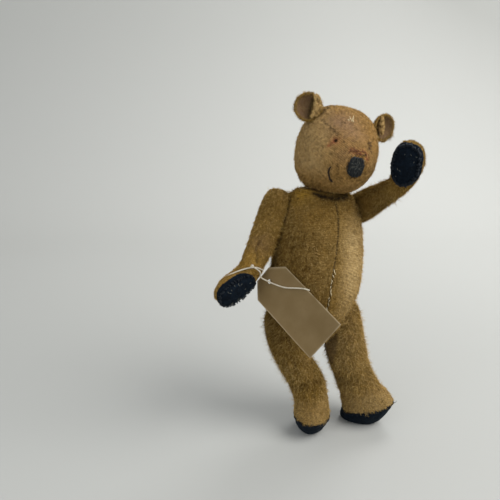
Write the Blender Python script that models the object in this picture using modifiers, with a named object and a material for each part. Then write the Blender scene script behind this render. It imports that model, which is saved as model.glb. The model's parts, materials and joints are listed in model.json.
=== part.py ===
"""Threadbare disc-jointed teddy bear, standing, one arm raised, with a card tag strung on its wrist.

Run with: blender --background --python part.py
All sizes below are millimetres until they reach a mesh, which is in metres.
The bear faces -Y, its right side is -X, and it stands on Z = 0.
"""

import math

import bmesh
import bpy
from mathutils import Matrix, Vector
from mathutils.bvhtree import BVHTree

MM = 0.001

# Driving dimensions
GAP = 0.3  # clearance between pieces that touch
CLOTH = 1.5  # thickness of the mohair cover
HIP_HEIGHT = 118.0
TORSO_ROLL = math.radians(4.0)  # the body leans a little to its left
CAGE_SWELL = 1.065  # subdivision pulls a cage in by about this much
FOOTPRINT_CENTRE = (-14.1, -20.8)  # middle of the bear's box seen from above, which is moved to the origin

# Joint hardware: hardboard discs, steel washers and split pins
DISC_THICK = 2.4
DISC_HOLE_R = 2.2
DISC_ROOM = 0.4  # how much wider its pocket in the stuffing is than a disc
WASHER_R = 6.0
WASHER_HOLE_R = 1.95
WASHER_THICK = 0.9
WASHER_ROOM = 1.2
WIRE_R = 0.65
WIRE_APART = 0.15  # half the gap between a split pin's two legs
PIN_EYE_R = 3.0
PIN_CURL_R = 2.4

# The cuts at a joint: how far they reach, and how they widen for each millimetre away from its flat
CUT_REACH = 70.0
BODY_CUT_SPREAD = 0.7
LIMB_CUT_SPREAD = 3.5
PIN_HOLE_REACH = 3.4

# Head, ears and face
HEAD_TILT_DEG = 13.5  # towards the bear's left shoulder
HEAD_PITCH_DEG = 6.0  # looking down a little
HEAD_TURN_DEG = -3.0  # and a little to its right
EAR_RADIUS = 15.2
EAR_THICK = 4.0
EAR_CUP = 7.0
NOSE_WIDTH = 15.8
NOSE_HEIGHT = 19.0
NOSE_THICK = 1.4
MOUTH_THREAD_R = 0.7

# Arms, legs and pads
ARM_OUT = 10.5  # the arm's middle line lies this far outside the joint's flat
ARM_BENDS_FROM = 58.0
WRIST_LENGTH = 28.0  # the bend is spread over this much of the arm
LEG_SQUARENESS = 1.15
PAD_THICK = 1.2
SOLE_DROP = 4.6  # the soles' flat spots lie this far below the level that heights are measured from
PAW_PAD_AT = 95.0  # distance along the arm
PAW_PAD_HALF = (14.5, 21.0)

# Card tag and its string
TAG_LENGTH = 96.0
TAG_WIDTH = 48.0
TAG_THICK = 0.7
TAG_CHAMFER = 14.0
TAG_HOLE_R = 2.5
TAG_HOLE_FROM_END = 11.0
STRING_R = 0.8
STRING_LIFT = GAP + STRING_R + PAD_THICK - 0.4  # the string passes over the pad's edge
STRING_OVER_TAG = STRING_R + GAP + 0.5
LOOP_AT = 64.0  # the loop's place on the wrist, along the arm
LOOP_REACH = 38.0  # how far it has slipped towards the tip, on the paw's upper edge
LOOP_TURN = math.radians(-35)
LOOP_POINTS = 36
KNOT_AT = 4  # which point of the loop is tied
KNOT_R = 2.1


def clear_scene():
    for obj in list(bpy.data.objects):
        bpy.data.objects.remove(obj, do_unlink=True)


def new_collection(name):
    collection = bpy.data.collections.new(name)
    bpy.context.scene.collection.children.link(collection)
    return collection


def plain_material(name, color, roughness, metallic=0.0):
    made = bpy.data.materials.new(name)
    made.use_nodes = True
    shader = made.node_tree.nodes["Principled BSDF"]
    shader.inputs["Base Color"].default_value = (*color, 1.0)
    shader.inputs["Roughness"].default_value = roughness
    shader.inputs["Metallic"].default_value = metallic
    return made


clear_scene()
BEAR = new_collection("threadbare_teddy_bear")
CUTTERS = new_collection("cutters")
MOHAIR = plain_material("worn_mohair", (0.42, 0.30, 0.14), 0.95)
WOOL = plain_material("wood_wool", (0.62, 0.50, 0.30), 0.95)
VELVET = plain_material("navy_velvet", (0.010, 0.018, 0.035), 0.9)
THREAD = plain_material("black_thread", (0.012, 0.014, 0.02), 0.7)
BOARD = plain_material("hardboard", (0.28, 0.17, 0.09), 0.8)
STEEL = plain_material("zinc_steel", (0.55, 0.55, 0.56), 0.35, 1.0)
CARD = plain_material("manila_card", (0.34, 0.26, 0.14), 0.8)
STRING = plain_material("cotton_string", (0.75, 0.70, 0.58), 0.9)


# ---------------------------------------------------------------- helpers


def link(name, mesh, collection, frame=None, material=None):
    """An object whose mesh is given in the bear's frame, with its origin moved to the given frame."""
    obj = bpy.data.objects.new(name, mesh)
    collection.objects.link(obj)
    if frame is not None:
        mesh.transform(frame.matrix_world.inverted())
        obj.parent = frame
    if material is not None:
        mesh.materials.clear()
        mesh.materials.append(material)
    return obj


def helper(name, mesh):
    """A cutter or a guide, which is not a piece of the bear."""
    obj = link(name, mesh, CUTTERS)
    obj.hide_render = True
    obj.display_type = "WIRE"
    return obj


def evaluated_mesh(obj):
    bpy.context.view_layer.update()
    graph = bpy.context.evaluated_depsgraph_get()
    mesh = bpy.data.meshes.new_from_object(obj.evaluated_get(graph))
    mesh.transform(obj.matrix_world)
    return mesh


def boolean(obj, operation, other):
    modifier = obj.modifiers.new(operation.lower(), "BOOLEAN")
    modifier.operation = operation
    modifier.solver = "EXACT"
    modifier.object = other
    return modifier


def frame_matrix(centre, axis, towards):
    """Local Z along axis, local X as near to the direction towards as it can be."""
    z = Vector(axis).normalized()
    x = Vector(towards)
    x = (x - z * x.dot(z)).normalized()
    y = z.cross(x)
    turn = Matrix((x, y, z)).transposed().to_4x4()
    return Matrix.Translation(Vector(centre)) @ turn


def cylinder_mesh(name, radius, low, high, frame, sides=32, high_radius=None):
    """A closed cylinder or cone along a frame's Z, between two heights, in the bear's frame."""
    bm = bmesh.new()
    place = frame @ Matrix.Translation((0, 0, (low + high) / 2))
    scale = Matrix.Scale(MM, 4)
    bmesh.ops.create_cone(
        bm, cap_ends=True, segments=sides, radius1=radius, radius2=high_radius or radius,
        depth=high - low, matrix=scale @ place,
    )
    mesh = bpy.data.meshes.new(name)
    bm.to_mesh(mesh)
    bm.free()
    return mesh


def ring_points(centre, across, along, half_width, half_depth, count, squareness=1.0):
    """Points of one oval section. A squareness above 1 fills its corners."""
    points = []
    for i in range(count):
        turn = 2 * math.pi * i / count
        c = math.cos(turn)
        s = math.sin(turn)
        c = math.copysign(abs(c) ** (1 / squareness), c)
        s = math.copysign(abs(s) ** (1 / squareness), s)
        points.append(centre + across * (half_width * c) + along * (half_depth * s))
    return points


def loft_cage(name, rings, creased=()):
    """A closed cage through rings of points. A creased ring keeps its flat face and its sharp rim."""
    bm = bmesh.new()
    loops = [[bm.verts.new(point * MM) for point in ring] for ring in rings]
    count = len(rings[0])
    for lower, upper in zip(loops, loops[1:]):
        for i in range(count):
            j = (i + 1) % count
            bm.faces.new((lower[i], lower[j], upper[j], upper[i]))
    bm.faces.new(list(reversed(loops[0])))
    bm.faces.new(loops[-1])
    crease = bm.edges.layers.float.new("crease_edge")
    for number in creased:
        rim = set(loops[number])
        for edge in bm.edges:
            if set(edge.verts) <= rim:
                edge[crease] = 1.0
    bmesh.ops.recalc_face_normals(bm, faces=bm.faces)
    mesh = bpy.data.meshes.new(name)
    bm.to_mesh(mesh)
    bm.free()
    return mesh


def sunk_form(name, cage, depth):
    """The smooth form of a cage, sunk by a depth under its surface, as a guide object."""
    obj = helper(f"{name}_form_{depth:.1f}", cage.copy())
    smooth = obj.modifiers.new("smooth", "SUBSURF")
    smooth.levels = 1
    smooth.render_levels = 1
    diagonals = obj.modifiers.new("diagonals", "TRIANGULATE")
    diagonals.quad_method = "FIXED"
    if depth:
        sink = obj.modifiers.new("sink", "DISPLACE")
        sink.mid_level = 0.0
        sink.strength = -depth * MM
    return obj


class DiscJoint:
    """A disc joint: its frame has Z along the axis, pointing out of the body into the limb."""

    def __init__(self, name, centre, axis, towards, disc_r, body_cut_r, limb_cut_r):
        self.name = name
        self.frame = frame_matrix(centre, axis, towards)
        self.disc_r = disc_r
        self.body_cut_r = body_cut_r
        self.limb_cut_r = limb_cut_r
        self.empty = bpy.data.objects.new(f"{name}_axis", None)
        BEAR.objects.link(self.empty)
        place = self.frame.copy()
        place.translation *= MM
        self.empty.matrix_world = place
        bpy.context.view_layer.update()

    def heights(self):
        """Heights of cover, disc, washer and wire above the joint's mid plane."""
        cover = GAP / 2
        disc = cover + CLOTH + GAP
        washer = disc + DISC_THICK + GAP
        wire = washer + WASHER_THICK + GAP
        return cover, disc, washer, wire

    def point(self, across, along, up):
        return self.frame @ Vector((across, along, up))

    def body_cutter(self, depth):
        """Takes the body down to the joint's flat, and clears room for the limb's round end."""
        low, high = -GAP / 2 - depth, CUT_REACH
        widest = self.body_cut_r + BODY_CUT_SPREAD * (high - low)
        mesh = cylinder_mesh("cut", self.body_cut_r + depth, low, high, self.frame, 32, widest + depth)
        return helper(f"{self.name}_body_cut_{depth:.1f}", mesh)

    def limb_cutter(self, depth):
        """Takes the limb down to the joint's flat."""
        low, high = -CUT_REACH, GAP / 2 + depth
        widest = self.limb_cut_r + LIMB_CUT_SPREAD * (high - low)
        mesh = cylinder_mesh("cut", widest + depth, low, high, self.frame, 32, self.limb_cut_r + depth)
        return helper(f"{self.name}_limb_cut_{depth:.1f}", mesh)

    def pin_hole(self):
        mesh = cylinder_mesh("cut", DISC_HOLE_R, -PIN_HOLE_REACH, PIN_HOLE_REACH, self.frame, 12)
        return helper(f"{self.name}_pin_hole", mesh)

    def pockets(self, side):
        """Room in the stuffing for the disc, and for the washer and the pin's end. side is +1 in the limb."""
        _, disc, washer, wire = self.heights()
        wire_end = 2 * (PIN_EYE_R + WIRE_R) + 2.0 if side > 0 else PIN_CURL_R + 2 * WIRE_R + 1.2
        steps = ((self.disc_r + DISC_ROOM, washer), (WASHER_R + WASHER_ROOM, wire + wire_end))
        for number, (radius, far) in enumerate(steps):
            low, high = sorted((0.0, side * far))
            mesh = cylinder_mesh("cut", radius, low, high, self.frame, 24)
            yield helper(f"{self.name}_pocket_{side}_{number}", mesh)

    def add_hardware(self):
        _, disc, washer, wire = self.heights()
        for side, where in ((1, "limb"), (-1, "body")):
            self.add_ring(
                f"{self.name}_{where}_disc", side, disc, DISC_THICK, self.disc_r, DISC_HOLE_R, 20, BOARD
            )
            self.add_ring(
                f"{self.name}_{where}_washer", side, washer, WASHER_THICK, WASHER_R, WASHER_HOLE_R, 12, STEEL
            )
        self.add_pin(wire)

    def add_ring(self, name, side, near, thick, radius, hole_r, sides, material):
        """A flat ring: a turned rectangle, coaxial with the joint."""
        low, high = sorted((side * near, side * (near + thick)))
        profile = ((hole_r, high), (radius, high), (radius, low), (hole_r, low))
        bm = bmesh.new()
        corners = [bm.verts.new((r * MM, 0, z * MM)) for r, z in profile]
        for start, end in zip(corners, corners[1:] + corners[:1]):
            bm.edges.new((start, end))
        mesh = bpy.data.meshes.new(name)
        bm.to_mesh(mesh)
        bm.free()
        obj = link(name, mesh, BEAR, None, material)
        obj.parent = self.empty
        turned = obj.modifiers.new("turned", "SCREW")
        turned.steps = sides
        turned.render_steps = sides
        turned.use_merge_vertices = True
        turned.merge_threshold = 0.00005

    def add_pin(self, wire):
        """A split pin: one wire bent into an eye, with its two tails curled over the body's washer."""
        leg = WIRE_R + WIRE_APART
        tail = []
        for step in range(6):
            turn = math.radians(200 - 40 * step)
            across = leg + PIN_CURL_R + PIN_CURL_R * math.cos(turn)
            tail.append((across, -wire - WIRE_R - PIN_CURL_R * math.sin(turn)))
        eye_centre = wire + WIRE_R + PIN_EYE_R
        opening = math.asin(leg / PIN_EYE_R)
        eye = []
        for step in range(11):
            turn = -math.pi / 2 + opening + (2 * math.pi - 2 * opening) * step / 10
            eye.append((PIN_EYE_R * math.cos(turn), eye_centre + PIN_EYE_R * math.sin(turn)))
        tail.reverse()
        path = tail + eye + [(-across, up) for across, up in reversed(tail)]
        pin = wire_object(f"{self.name}_pin", [(across, 0.0, up) for across, up in path], WIRE_R, 1, STEEL)
        pin.parent = self.empty


def wire_object(name, points, radius, resolution, material, closed=False):
    """A round wire, thread or string through points, which are in millimetres."""
    curve = bpy.data.curves.new(name, "CURVE")
    curve.dimensions = "3D"
    curve.bevel_depth = radius * MM
    curve.bevel_resolution = resolution
    curve.use_fill_caps = not closed
    spline = curve.splines.new("POLY")
    spline.points.add(len(points) - 1)
    for point, place in zip(spline.points, points):
        point.co = (*(Vector(place) * MM), 1.0)
    spline.use_cyclic_u = closed
    curve.materials.append(material)
    obj = bpy.data.objects.new(name, curve)
    BEAR.objects.link(obj)
    return obj


# ---------------------------------------------------------------- frames and joints

TORSO = Matrix.Translation((0, 0, HIP_HEIGHT)) @ Matrix.Rotation(TORSO_ROLL, 4, "Y")


def on_torso(x, y, z):
    return TORSO @ Vector((x, y, z))


def outward(side, back_deg, up_deg):
    """A direction out of the body's side, swung back and tilted up. side is -1 on the bear's right."""
    back = math.radians(back_deg)
    up = math.radians(up_deg)
    return Vector((side * math.cos(back) * math.cos(up), math.sin(back) * math.cos(up), math.sin(up)))


DOWN = (0, 0, -1)
JOINTS = {
    "neck": DiscJoint("neck", on_torso(-1, 1, 150), (0.11, 0, 1), (0, -1, 0), 14.0, 60.0, 60.0),
    "shoulder_r": DiscJoint("shoulder_r", on_torso(-44.7, 2, 126.5), outward(-1, 6, 19), DOWN, 9.0, 38.0, 30.0),
    "shoulder_l": DiscJoint("shoulder_l", on_torso(34.5, 2, 127), outward(1, 14, 13), DOWN, 9.0, 45.2, 34.5),
    "hip_r": DiscJoint("hip_r", on_torso(-22, 0, 0), outward(-1, 4, -17), DOWN, 13.8, 38.5, 35.0),
    "hip_l": DiscJoint("hip_l", on_torso(22, 0, 0), outward(1, 4, -3), DOWN, 13.8, 36.5, 35.0),
}


# ---------------------------------------------------------------- soft forms


def torso_cage():
    """Height above the hips, half width, half depth, shift forward and shift aside of each section."""
    sections = (
        (-25, 9, 11.5, -2.5, 0),
        (-21, 19, 20.5, -3.5, 0),
        (-9, 30.5, 28, -4, -0.5),
        (8, 41, 35.5, -1.5, -1.5),
        (34, 49, 42, 3, -3),
        (64, 50.5, 43.5, 4, -3.7),
        (92, 48.5, 41, 3, -4),
        (116, 47, 37, 1, -5.2),
        (136, 41.8, 31, -1, -5.5),
        (149, 29.5, 24, -1, -4.5),
        (153, 19, 17, -1, -3.5),
    )
    rings = []
    for height, width, depth, shift, aside in sections:
        centre = on_torso(aside, -shift, height)
        across = TORSO.to_3x3() @ Vector((1, 0, 0))
        along = TORSO.to_3x3() @ Vector((0, 1, 0))
        rings.append(ring_points(centre, across, along, width * CAGE_SWELL, depth * CAGE_SWELL, 10))
    return loft_cage("torso_cage", rings)


def head_frame():
    tilt = Matrix.Rotation(math.radians(HEAD_TILT_DEG), 4, "Y")
    turn = Matrix.Rotation(math.radians(HEAD_TURN_DEG), 4, "Z")
    pitch = Matrix.Rotation(math.radians(HEAD_PITCH_DEG), 4, "X")
    return Matrix.Translation(JOINTS["neck"].point(0, 0, 0)) @ tilt @ turn @ pitch


# Each section of the head: place forward, height of its middle, half width, half height, squareness
HEAD_SECTIONS = (
    (-42, 43, 14, 14, 1.0),
    (-36, 42, 29, 32, 1.1),
    (-20, 41, 38.5, 43.5, 1.3),
    (2, 41, 41.5, 46.5, 1.35),
    (20, 41.5, 37, 41, 1.05),
    (33, 39, 30, 31.5, 1.0),
    (44, 36, 23, 25.5, 1.0),
    (52, 34.5, 17, 19, 1.0),
    (56, 34.5, 9, 10.5, 1.0),
)


def head_cage():
    frame = head_frame()
    turn = frame.to_3x3()
    rings = []
    for forward, height, width, tall, squareness in HEAD_SECTIONS:
        centre = frame @ Vector((0, -forward, height))
        rings.append(
            ring_points(
                centre, turn @ Vector((1, 0, 0)), turn @ Vector((0, 0, 1)),
                width * CAGE_SWELL, tall * CAGE_SWELL, 10, squareness,
            )
        )
    return loft_cage("head_cage", rings)


# Each section of an arm: distance along it, half width across the palm's plane, half thickness
ARM_SECTIONS = (
    (-20, 7, 6),
    (-16, 13, 12),
    (-3, 16.5, 15.5),
    (18, 15.2, 15),
    (40, 13.8, 14.2),
    (58, 12.5, 12.5),
    (72, 12.5, 11),
    (88, 16, 12),
    (104, 15.5, 11),
    (113, 10.5, 7.5),
    (116, 5, 4),
)


class Arm:
    """The middle line of an arm: straight from the shoulder, then turned at the wrist."""

    def __init__(self, joint, raised, twist, bend, flare, roll, slim):
        self.joint = joint
        self.slim = slim
        side = -1 if joint.name.endswith("_r") else 1
        turn = Matrix.Rotation(-side * math.radians(raised), 3, "Z")
        place = joint.frame.to_3x3()
        self.down = place @ turn @ Vector((1, 0, 0))
        self.out = place @ Vector((0, 0, 1))
        self.front = self.out.cross(self.down) * -side
        self.twist = math.radians(twist)
        self.bend = math.radians(bend)
        self.flare = math.radians(flare)
        self.roll = math.radians(roll) * side
        self.start = joint.point(0, 0, ARM_OUT)

    def curl(self, share):
        """The direction the paw turns to, and the direction its palm faces."""
        twist = self.twist * share
        curl = self.front * math.cos(twist) + self.out * math.sin(twist)
        palm = self.front * math.sin(twist) - self.out * math.cos(twist)
        return curl, palm

    def frame_at(self, distance):
        """(point, direction, curl side, palm side) of the middle line."""
        point = self.start.copy()
        step = 1.0
        travelled = 0.0
        share = 0.0
        direction = self.down
        while True:
            share = min(1.0, max(0.0, (travelled - 30) / (ARM_BENDS_FROM - 10)))
            bend_share = min(1.0, max(0.0, (travelled - ARM_BENDS_FROM) / WRIST_LENGTH))
            bend_share = bend_share * bend_share * (3 - 2 * bend_share)
            curl, palm = self.curl(share)
            straight = self.down * math.cos(self.flare) + self.out * math.sin(self.flare)
            straight = self.down if travelled < 10 else straight
            direction = straight * math.cos(self.bend * bend_share) + curl * math.sin(self.bend * bend_share)
            direction.normalize()
            if travelled + step > distance:
                point = point + direction * (distance - travelled)
                break
            point = point + direction * step
            travelled += step
        side = (curl - direction * curl.dot(direction)).normalized()
        palm = (palm - direction * palm.dot(direction) - side * palm.dot(side)).normalized()
        roll = Matrix.Rotation(self.roll * bend_share, 3, direction)
        return point, direction, roll @ side, roll @ palm

    def cage(self, name):
        rings = []
        for distance, width, thick in ARM_SECTIONS:
            point, _, side, palm = self.frame_at(distance)
            swell = CAGE_SWELL * (self.slim if 30 < distance < 80 else 1)
            rings.append(ring_points(point, side, palm, width * swell, thick * swell, 8))
        return loft_cage(name, rings)


ARMS = {
    "arm_r": Arm(JOINTS["shoulder_r"], raised=13, twist=80, bend=33, flare=7.2, roll=20, slim=1),
    "arm_l": Arm(JOINTS["shoulder_l"], raised=119.5, twist=0, bend=44, flare=6.4, roll=20, slim=0.87),
}

# Each section of a leg: centre X, Y and height, half width, half depth, turned out and pitched up in degrees
LEG_SECTIONS = {
    "leg_r": (
        (-35, 1, 144, 8, 11, 0, 0),
        (-35, 1, 139, 15, 19, 0, 0),
        (-36, 0, 124, 19.5, 25, 0, 0),
        (-31, -1, 102, 21.5, 28, 2, 0),
        (-22.5, -3, 80, 22.5, 27, 6, 0),
        (-12, -8, 58, 21.5, 24, 12, 0),
        (-6, -13, 40, 18, 22, 18, 6),
        (-5.2, -16.2, 28, 19, 28, 24, 9),
        (-6.7, -21.2, 14, 20, 31, 24, 8),
    ),
    "leg_l": (
        (36, 1, 141, 8, 11, 0, 0),
        (36, 1, 136, 15, 19, 0, 0),
        (36.5, 0, 121, 19.5, 25, 0, 0),
        (37, -1, 100, 21.5, 26, 6, 0),
        (39.5, -5, 80, 21.5, 25, 14, 0),
        (44.5, -11, 60, 20, 23, 26, 4),
        (52, -17, 42, 18.5, 22, 40, 10),
        (58.4, -22.8, 29, 19.5, 29, 50, 15),
        (61.4, -26.8, 17, 20.5, 30.5, 52, 17),
    ),
}


def leg_ring(name, section):
    """(centre, across, along) of one section, its along pointing to the heel."""
    x, y, height, _, _, turn_out, pitch = section
    side = -1 if name == "leg_r" else 1
    turn = Matrix.Rotation(side * math.radians(turn_out), 3, "Z")
    lift = Matrix.Rotation(-math.radians(pitch), 3, "X")
    place = turn @ lift
    return Vector((x, y, height)), place @ Vector((1, 0, 0)), place @ Vector((0, 1, 0))


def leg_cage(name):
    rings = []
    for section in LEG_SECTIONS[name]:
        centre, across, along = leg_ring(name, section)
        rings.append(
            ring_points(
                centre, across, along, section[3] * CAGE_SWELL, section[4] * CAGE_SWELL, 8, LEG_SQUARENESS
            )
        )
    return loft_cage(f"{name}_cage", rings, creased=(-1,))


def add_soft_part(name, cage, body_joints, limb_joint, frame):
    """The sewn cover of a stuffed part, and its wood wool, which leaves room for the joints' discs."""
    shapes = {}
    for depth in (0.0, CLOTH, CLOTH + GAP):
        form = sunk_form(name, cage, depth)
        for joint in body_joints:
            boolean(form, "DIFFERENCE", joint.body_cutter(depth))
        if limb_joint:
            boolean(form, "DIFFERENCE", limb_joint.limb_cutter(depth))
        shapes[depth] = helper(f"{name}_shape_{depth:.1f}", evaluated_mesh(form))
    cover = link(f"{name}_cover", shapes[0.0].data.copy(), BEAR, frame, MOHAIR)
    boolean(cover, "DIFFERENCE", shapes[CLOTH])
    filling = link(f"{name}_stuffing", shapes[CLOTH + GAP].data.copy(), BEAR, frame, WOOL)
    for joint in body_joints:
        boolean(cover, "DIFFERENCE", joint.pin_hole())
        for pocket in joint.pockets(-1):
            boolean(filling, "DIFFERENCE", pocket)
    if limb_joint:
        boolean(cover, "DIFFERENCE", limb_joint.pin_hole())
        for pocket in limb_joint.pockets(1):
            boolean(filling, "DIFFERENCE", pocket)
    return shapes[0.0]


def add_patch(name, cage, outline, thick, frame, material):
    """A patch that lies on a soft part: its form swollen by the gap and the thickness, inside an outline."""
    outer = helper(f"{name}_outer", evaluated_mesh(sunk_form(name, cage, -GAP - thick)))
    inner = sunk_form(name, cage, -GAP)
    patch = link(name, outline, BEAR, frame, material)
    boolean(patch, "INTERSECT", outer)
    boolean(patch, "DIFFERENCE", inner)
    return patch


def oval_prism(name, base, across, along, up, half_width, half_length, height, squareness):
    """A closed prism standing on its base point, with an oval outline."""
    low = ring_points(base, across, along, half_width, half_length, 20, squareness)
    return loft_cage(name, (low, [point + up * height for point in low]))


# ---------------------------------------------------------------- pieces on the soft parts

EARS = {
    # place in the head's frame, and the direction that the ear's front faces
    "ear_r": (Vector((-42, 5, 77)), Vector((-0.25, -0.93, 0.12)), Vector((-0.62, 0, 0.78))),
    "ear_l": (Vector((41, 5, 75)), Vector((0.30, -0.93, 0.12)), Vector((0.72, 0, 0.69))),
}


def ear_mesh(name, frame):
    """A cupped round flap: a thick disc of three rings, its rim brought forward."""
    place, face, up = EARS[name]
    turn = frame.to_3x3()
    centre = frame @ place
    normal = (turn @ face).normalized()
    up = turn @ up
    up = (up - normal * up.dot(normal)).normalized()
    across = up.cross(normal)
    bm = bmesh.new()

    def vertex(radius, angle, offset):
        x = radius * math.cos(angle)
        y = radius * math.sin(angle)
        depth = EAR_CUP * (radius / EAR_RADIUS) ** 2 + offset
        return bm.verts.new((centre + across * x + up * y + normal * depth) * MM)

    count = 10
    turns = [2 * math.pi * i / count for i in range(count)]
    rim = [vertex(EAR_RADIUS * CAGE_SWELL, turn, 0) for turn in turns]
    for side in (1, -1):
        half = side * EAR_THICK / 2
        ring = [vertex(EAR_RADIUS * 0.86, turn, half * 0.9) for turn in turns]
        inner = [vertex(EAR_RADIUS * 0.5, turn, half) for turn in turns]
        for i in range(count):
            j = (i + 1) % count
            bm.faces.new((rim[i], rim[j], ring[j], ring[i]))
            bm.faces.new((ring[i], ring[j], inner[j], inner[i]))
        bm.faces.new(inner)
    bmesh.ops.recalc_face_normals(bm, faces=bm.faces)
    mesh = bpy.data.meshes.new(name)
    bm.to_mesh(mesh)
    bm.free()
    return mesh


def add_ears(cage, frame, parent):
    swollen = sunk_form("head", cage, -GAP)
    for name in EARS:
        ear = link(name, ear_mesh(name, frame), BEAR, parent, MOHAIR)
        smooth = ear.modifiers.new("smooth", "SUBSURF")
        smooth.levels = 1
        smooth.render_levels = 1
        boolean(ear, "DIFFERENCE", swollen)


def surface_of(cage):
    """A search tree of a part's smooth form, in millimetres."""
    mesh = evaluated_mesh(sunk_form("surface", cage, 0.0))
    points = [vertex.co / MM for vertex in mesh.vertices]
    return BVHTree.FromPolygons(points, [tuple(face.vertices) for face in mesh.polygons])


NOSE_PLACE = Vector((-1, -38, 38))  # in the head's frame
# The left half of a stitched smile, which is all that is left of it: guesses that are put on the surface
MOUTH_POINTS = (
    Vector((-18, -44, 33)),
    Vector((-20, -43, 29)),
    Vector((-20, -42, 25)),
    Vector((-18.5, -43, 21.5)),
    Vector((-16.5, -44, 19.5)),
)


def add_face(cage, frame, parent):
    turn = frame.to_3x3()
    forward = turn @ Vector((0, -1, 0))
    outline = oval_prism(
        "nose", frame @ NOSE_PLACE, turn @ Vector((1, 0, 0)), turn @ Vector((0, 0, 1)), forward,
        NOSE_WIDTH / 2, NOSE_HEIGHT / 2, 40, 1.5,
    )
    add_patch("nose_stitching", cage, outline, NOSE_THICK, parent, THREAD)
    surface = surface_of(cage)
    points = []
    for guess in MOUTH_POINTS:
        spot, normal, _, _ = surface.find_nearest(frame @ guess)
        points.append(spot + normal * (GAP + MOUTH_THREAD_R + 0.1))
    points = smooth_path(points, 9)
    mouth = wire_object("mouth_stitch", points, MOUTH_THREAD_R, 2, THREAD)
    hang_curve(mouth, parent)


def smooth_path(points, count):
    """Points evenly spread along a smooth curve through the given ones."""
    path = []
    last = len(points) - 1
    for i in range(count):
        place = last * i / (count - 1)
        k = min(int(place), last - 1)
        t = place - k
        before = points[max(k - 1, 0)]
        start = points[k]
        end = points[k + 1]
        after = points[min(k + 2, last)]
        path.append(
            (start * 2 + (end - before) * t + (before * 2 - start * 5 + end * 4 - after) * t * t
             + (start * 3 - before - end * 3 + after) * t ** 3) / 2
        )
    return path


def hang_curve(obj, parent):
    """Parents a curve that is drawn in the bear's frame, without moving it."""
    obj.parent = parent
    obj.matrix_parent_inverse = parent.matrix_world.inverted()


def add_paw_pad(name, arm, cage):
    point, direction, side, palm = arm.frame_at(PAW_PAD_AT)
    outline = oval_prism(name, point + palm * 2, side, direction, palm, *PAW_PAD_HALF, 30, 1.25)
    add_patch(name, cage, outline, PAD_THICK, arm.joint.empty, VELVET)


# The rings of a foot pad above its flat spot: share of the height up to the foot's end, and size
SOLE_LEVELS = ((1.0, 0.985), (0.62, 0.95), (0.25, 0.83))

# Where each sole rests: centre X and Y, half width and half length of its flat spot
SOLE_RESTS = {
    "leg_r": (-4.4, -11.8, 13, 22.8),
    "leg_l": (54.5, -17.8, 13, 22),
}


def add_foot_pad(name, parent):
    """A padded sole: from the foot's flat end down to a flat spot on the floor."""
    section = LEG_SECTIONS[name][-1]
    centre, across, along = leg_ring(name, section)
    width, depth = section[3] * CAGE_SWELL, section[4] * CAGE_SWELL
    normal = across.cross(along)
    top = centre - normal * GAP
    rest_x, rest_y, rest_width, rest_depth = SOLE_RESTS[name]
    flat_along = Vector((along.x, along.y, 0)).normalized()
    flat_across = Vector((across.x, across.y, 0)).normalized()
    rest = Vector((rest_x, rest_y, -SOLE_DROP))
    rings = [ring_points(rest, flat_across, flat_along, rest_width, rest_depth, 8, LEG_SQUARENESS)]
    for share, size in reversed(SOLE_LEVELS):
        ring_centre = rest.lerp(top, share)
        tilt_along = flat_along.lerp(along, share).normalized()
        rings.append(
            ring_points(
                ring_centre, flat_across, tilt_along, width * size, depth * size, 8, LEG_SQUARENESS
            )
        )
    mesh = loft_cage(f"{name}_pad", rings, creased=(0, -1))
    pad = link(f"foot_pad_{name[-1]}", mesh, BEAR, parent, VELVET)
    smooth = pad.modifiers.new("smooth", "SUBSURF")
    smooth.levels = 1
    smooth.render_levels = 1


# ---------------------------------------------------------------- the tag and its string

TAG_DOWN = Vector((0.435, -0.725, -0.534)).normalized()
TAG_FACE = Vector((-0.730, -0.631, 0.262))
TAG_HOLE = Vector((-57.4, -16.6, 177.9))


def add_tag(parent):
    down = TAG_DOWN
    face = (TAG_FACE - down * TAG_FACE.dot(down)).normalized()
    across = down.cross(face)
    half = TAG_WIDTH / 2
    outline = (
        (-half, TAG_LENGTH), (half, TAG_LENGTH), (half, TAG_CHAMFER), (half - TAG_CHAMFER, 0),
        (TAG_CHAMFER - half, 0), (-half, TAG_CHAMFER),
    )
    base = TAG_HOLE - down * TAG_HOLE_FROM_END
    front = [base + across * x + down * y for x, y in outline]
    back = [point - face * TAG_THICK for point in front]
    tag = link("tag", loft_cage("tag", (back, front)), BEAR, parent, CARD)
    hole = Matrix((across, down, face)).transposed().to_4x4()
    hole.translation = TAG_HOLE
    boolean(tag, "DIFFERENCE", helper("tag_hole", cylinder_mesh("tag_hole", TAG_HOLE_R, -5, 5, hole, 16)))


# The free string: round the wrist (place along the arm, turn in degrees), then over the tag (across, down)
STRING_ROUND = ((67, 85), (70, 125))
STRING_TAIL = ((-3.2, 7.7), (-8.6, 17.6), (-16, 26), (-22.5, 33.5), (-25.5, 39))


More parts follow.
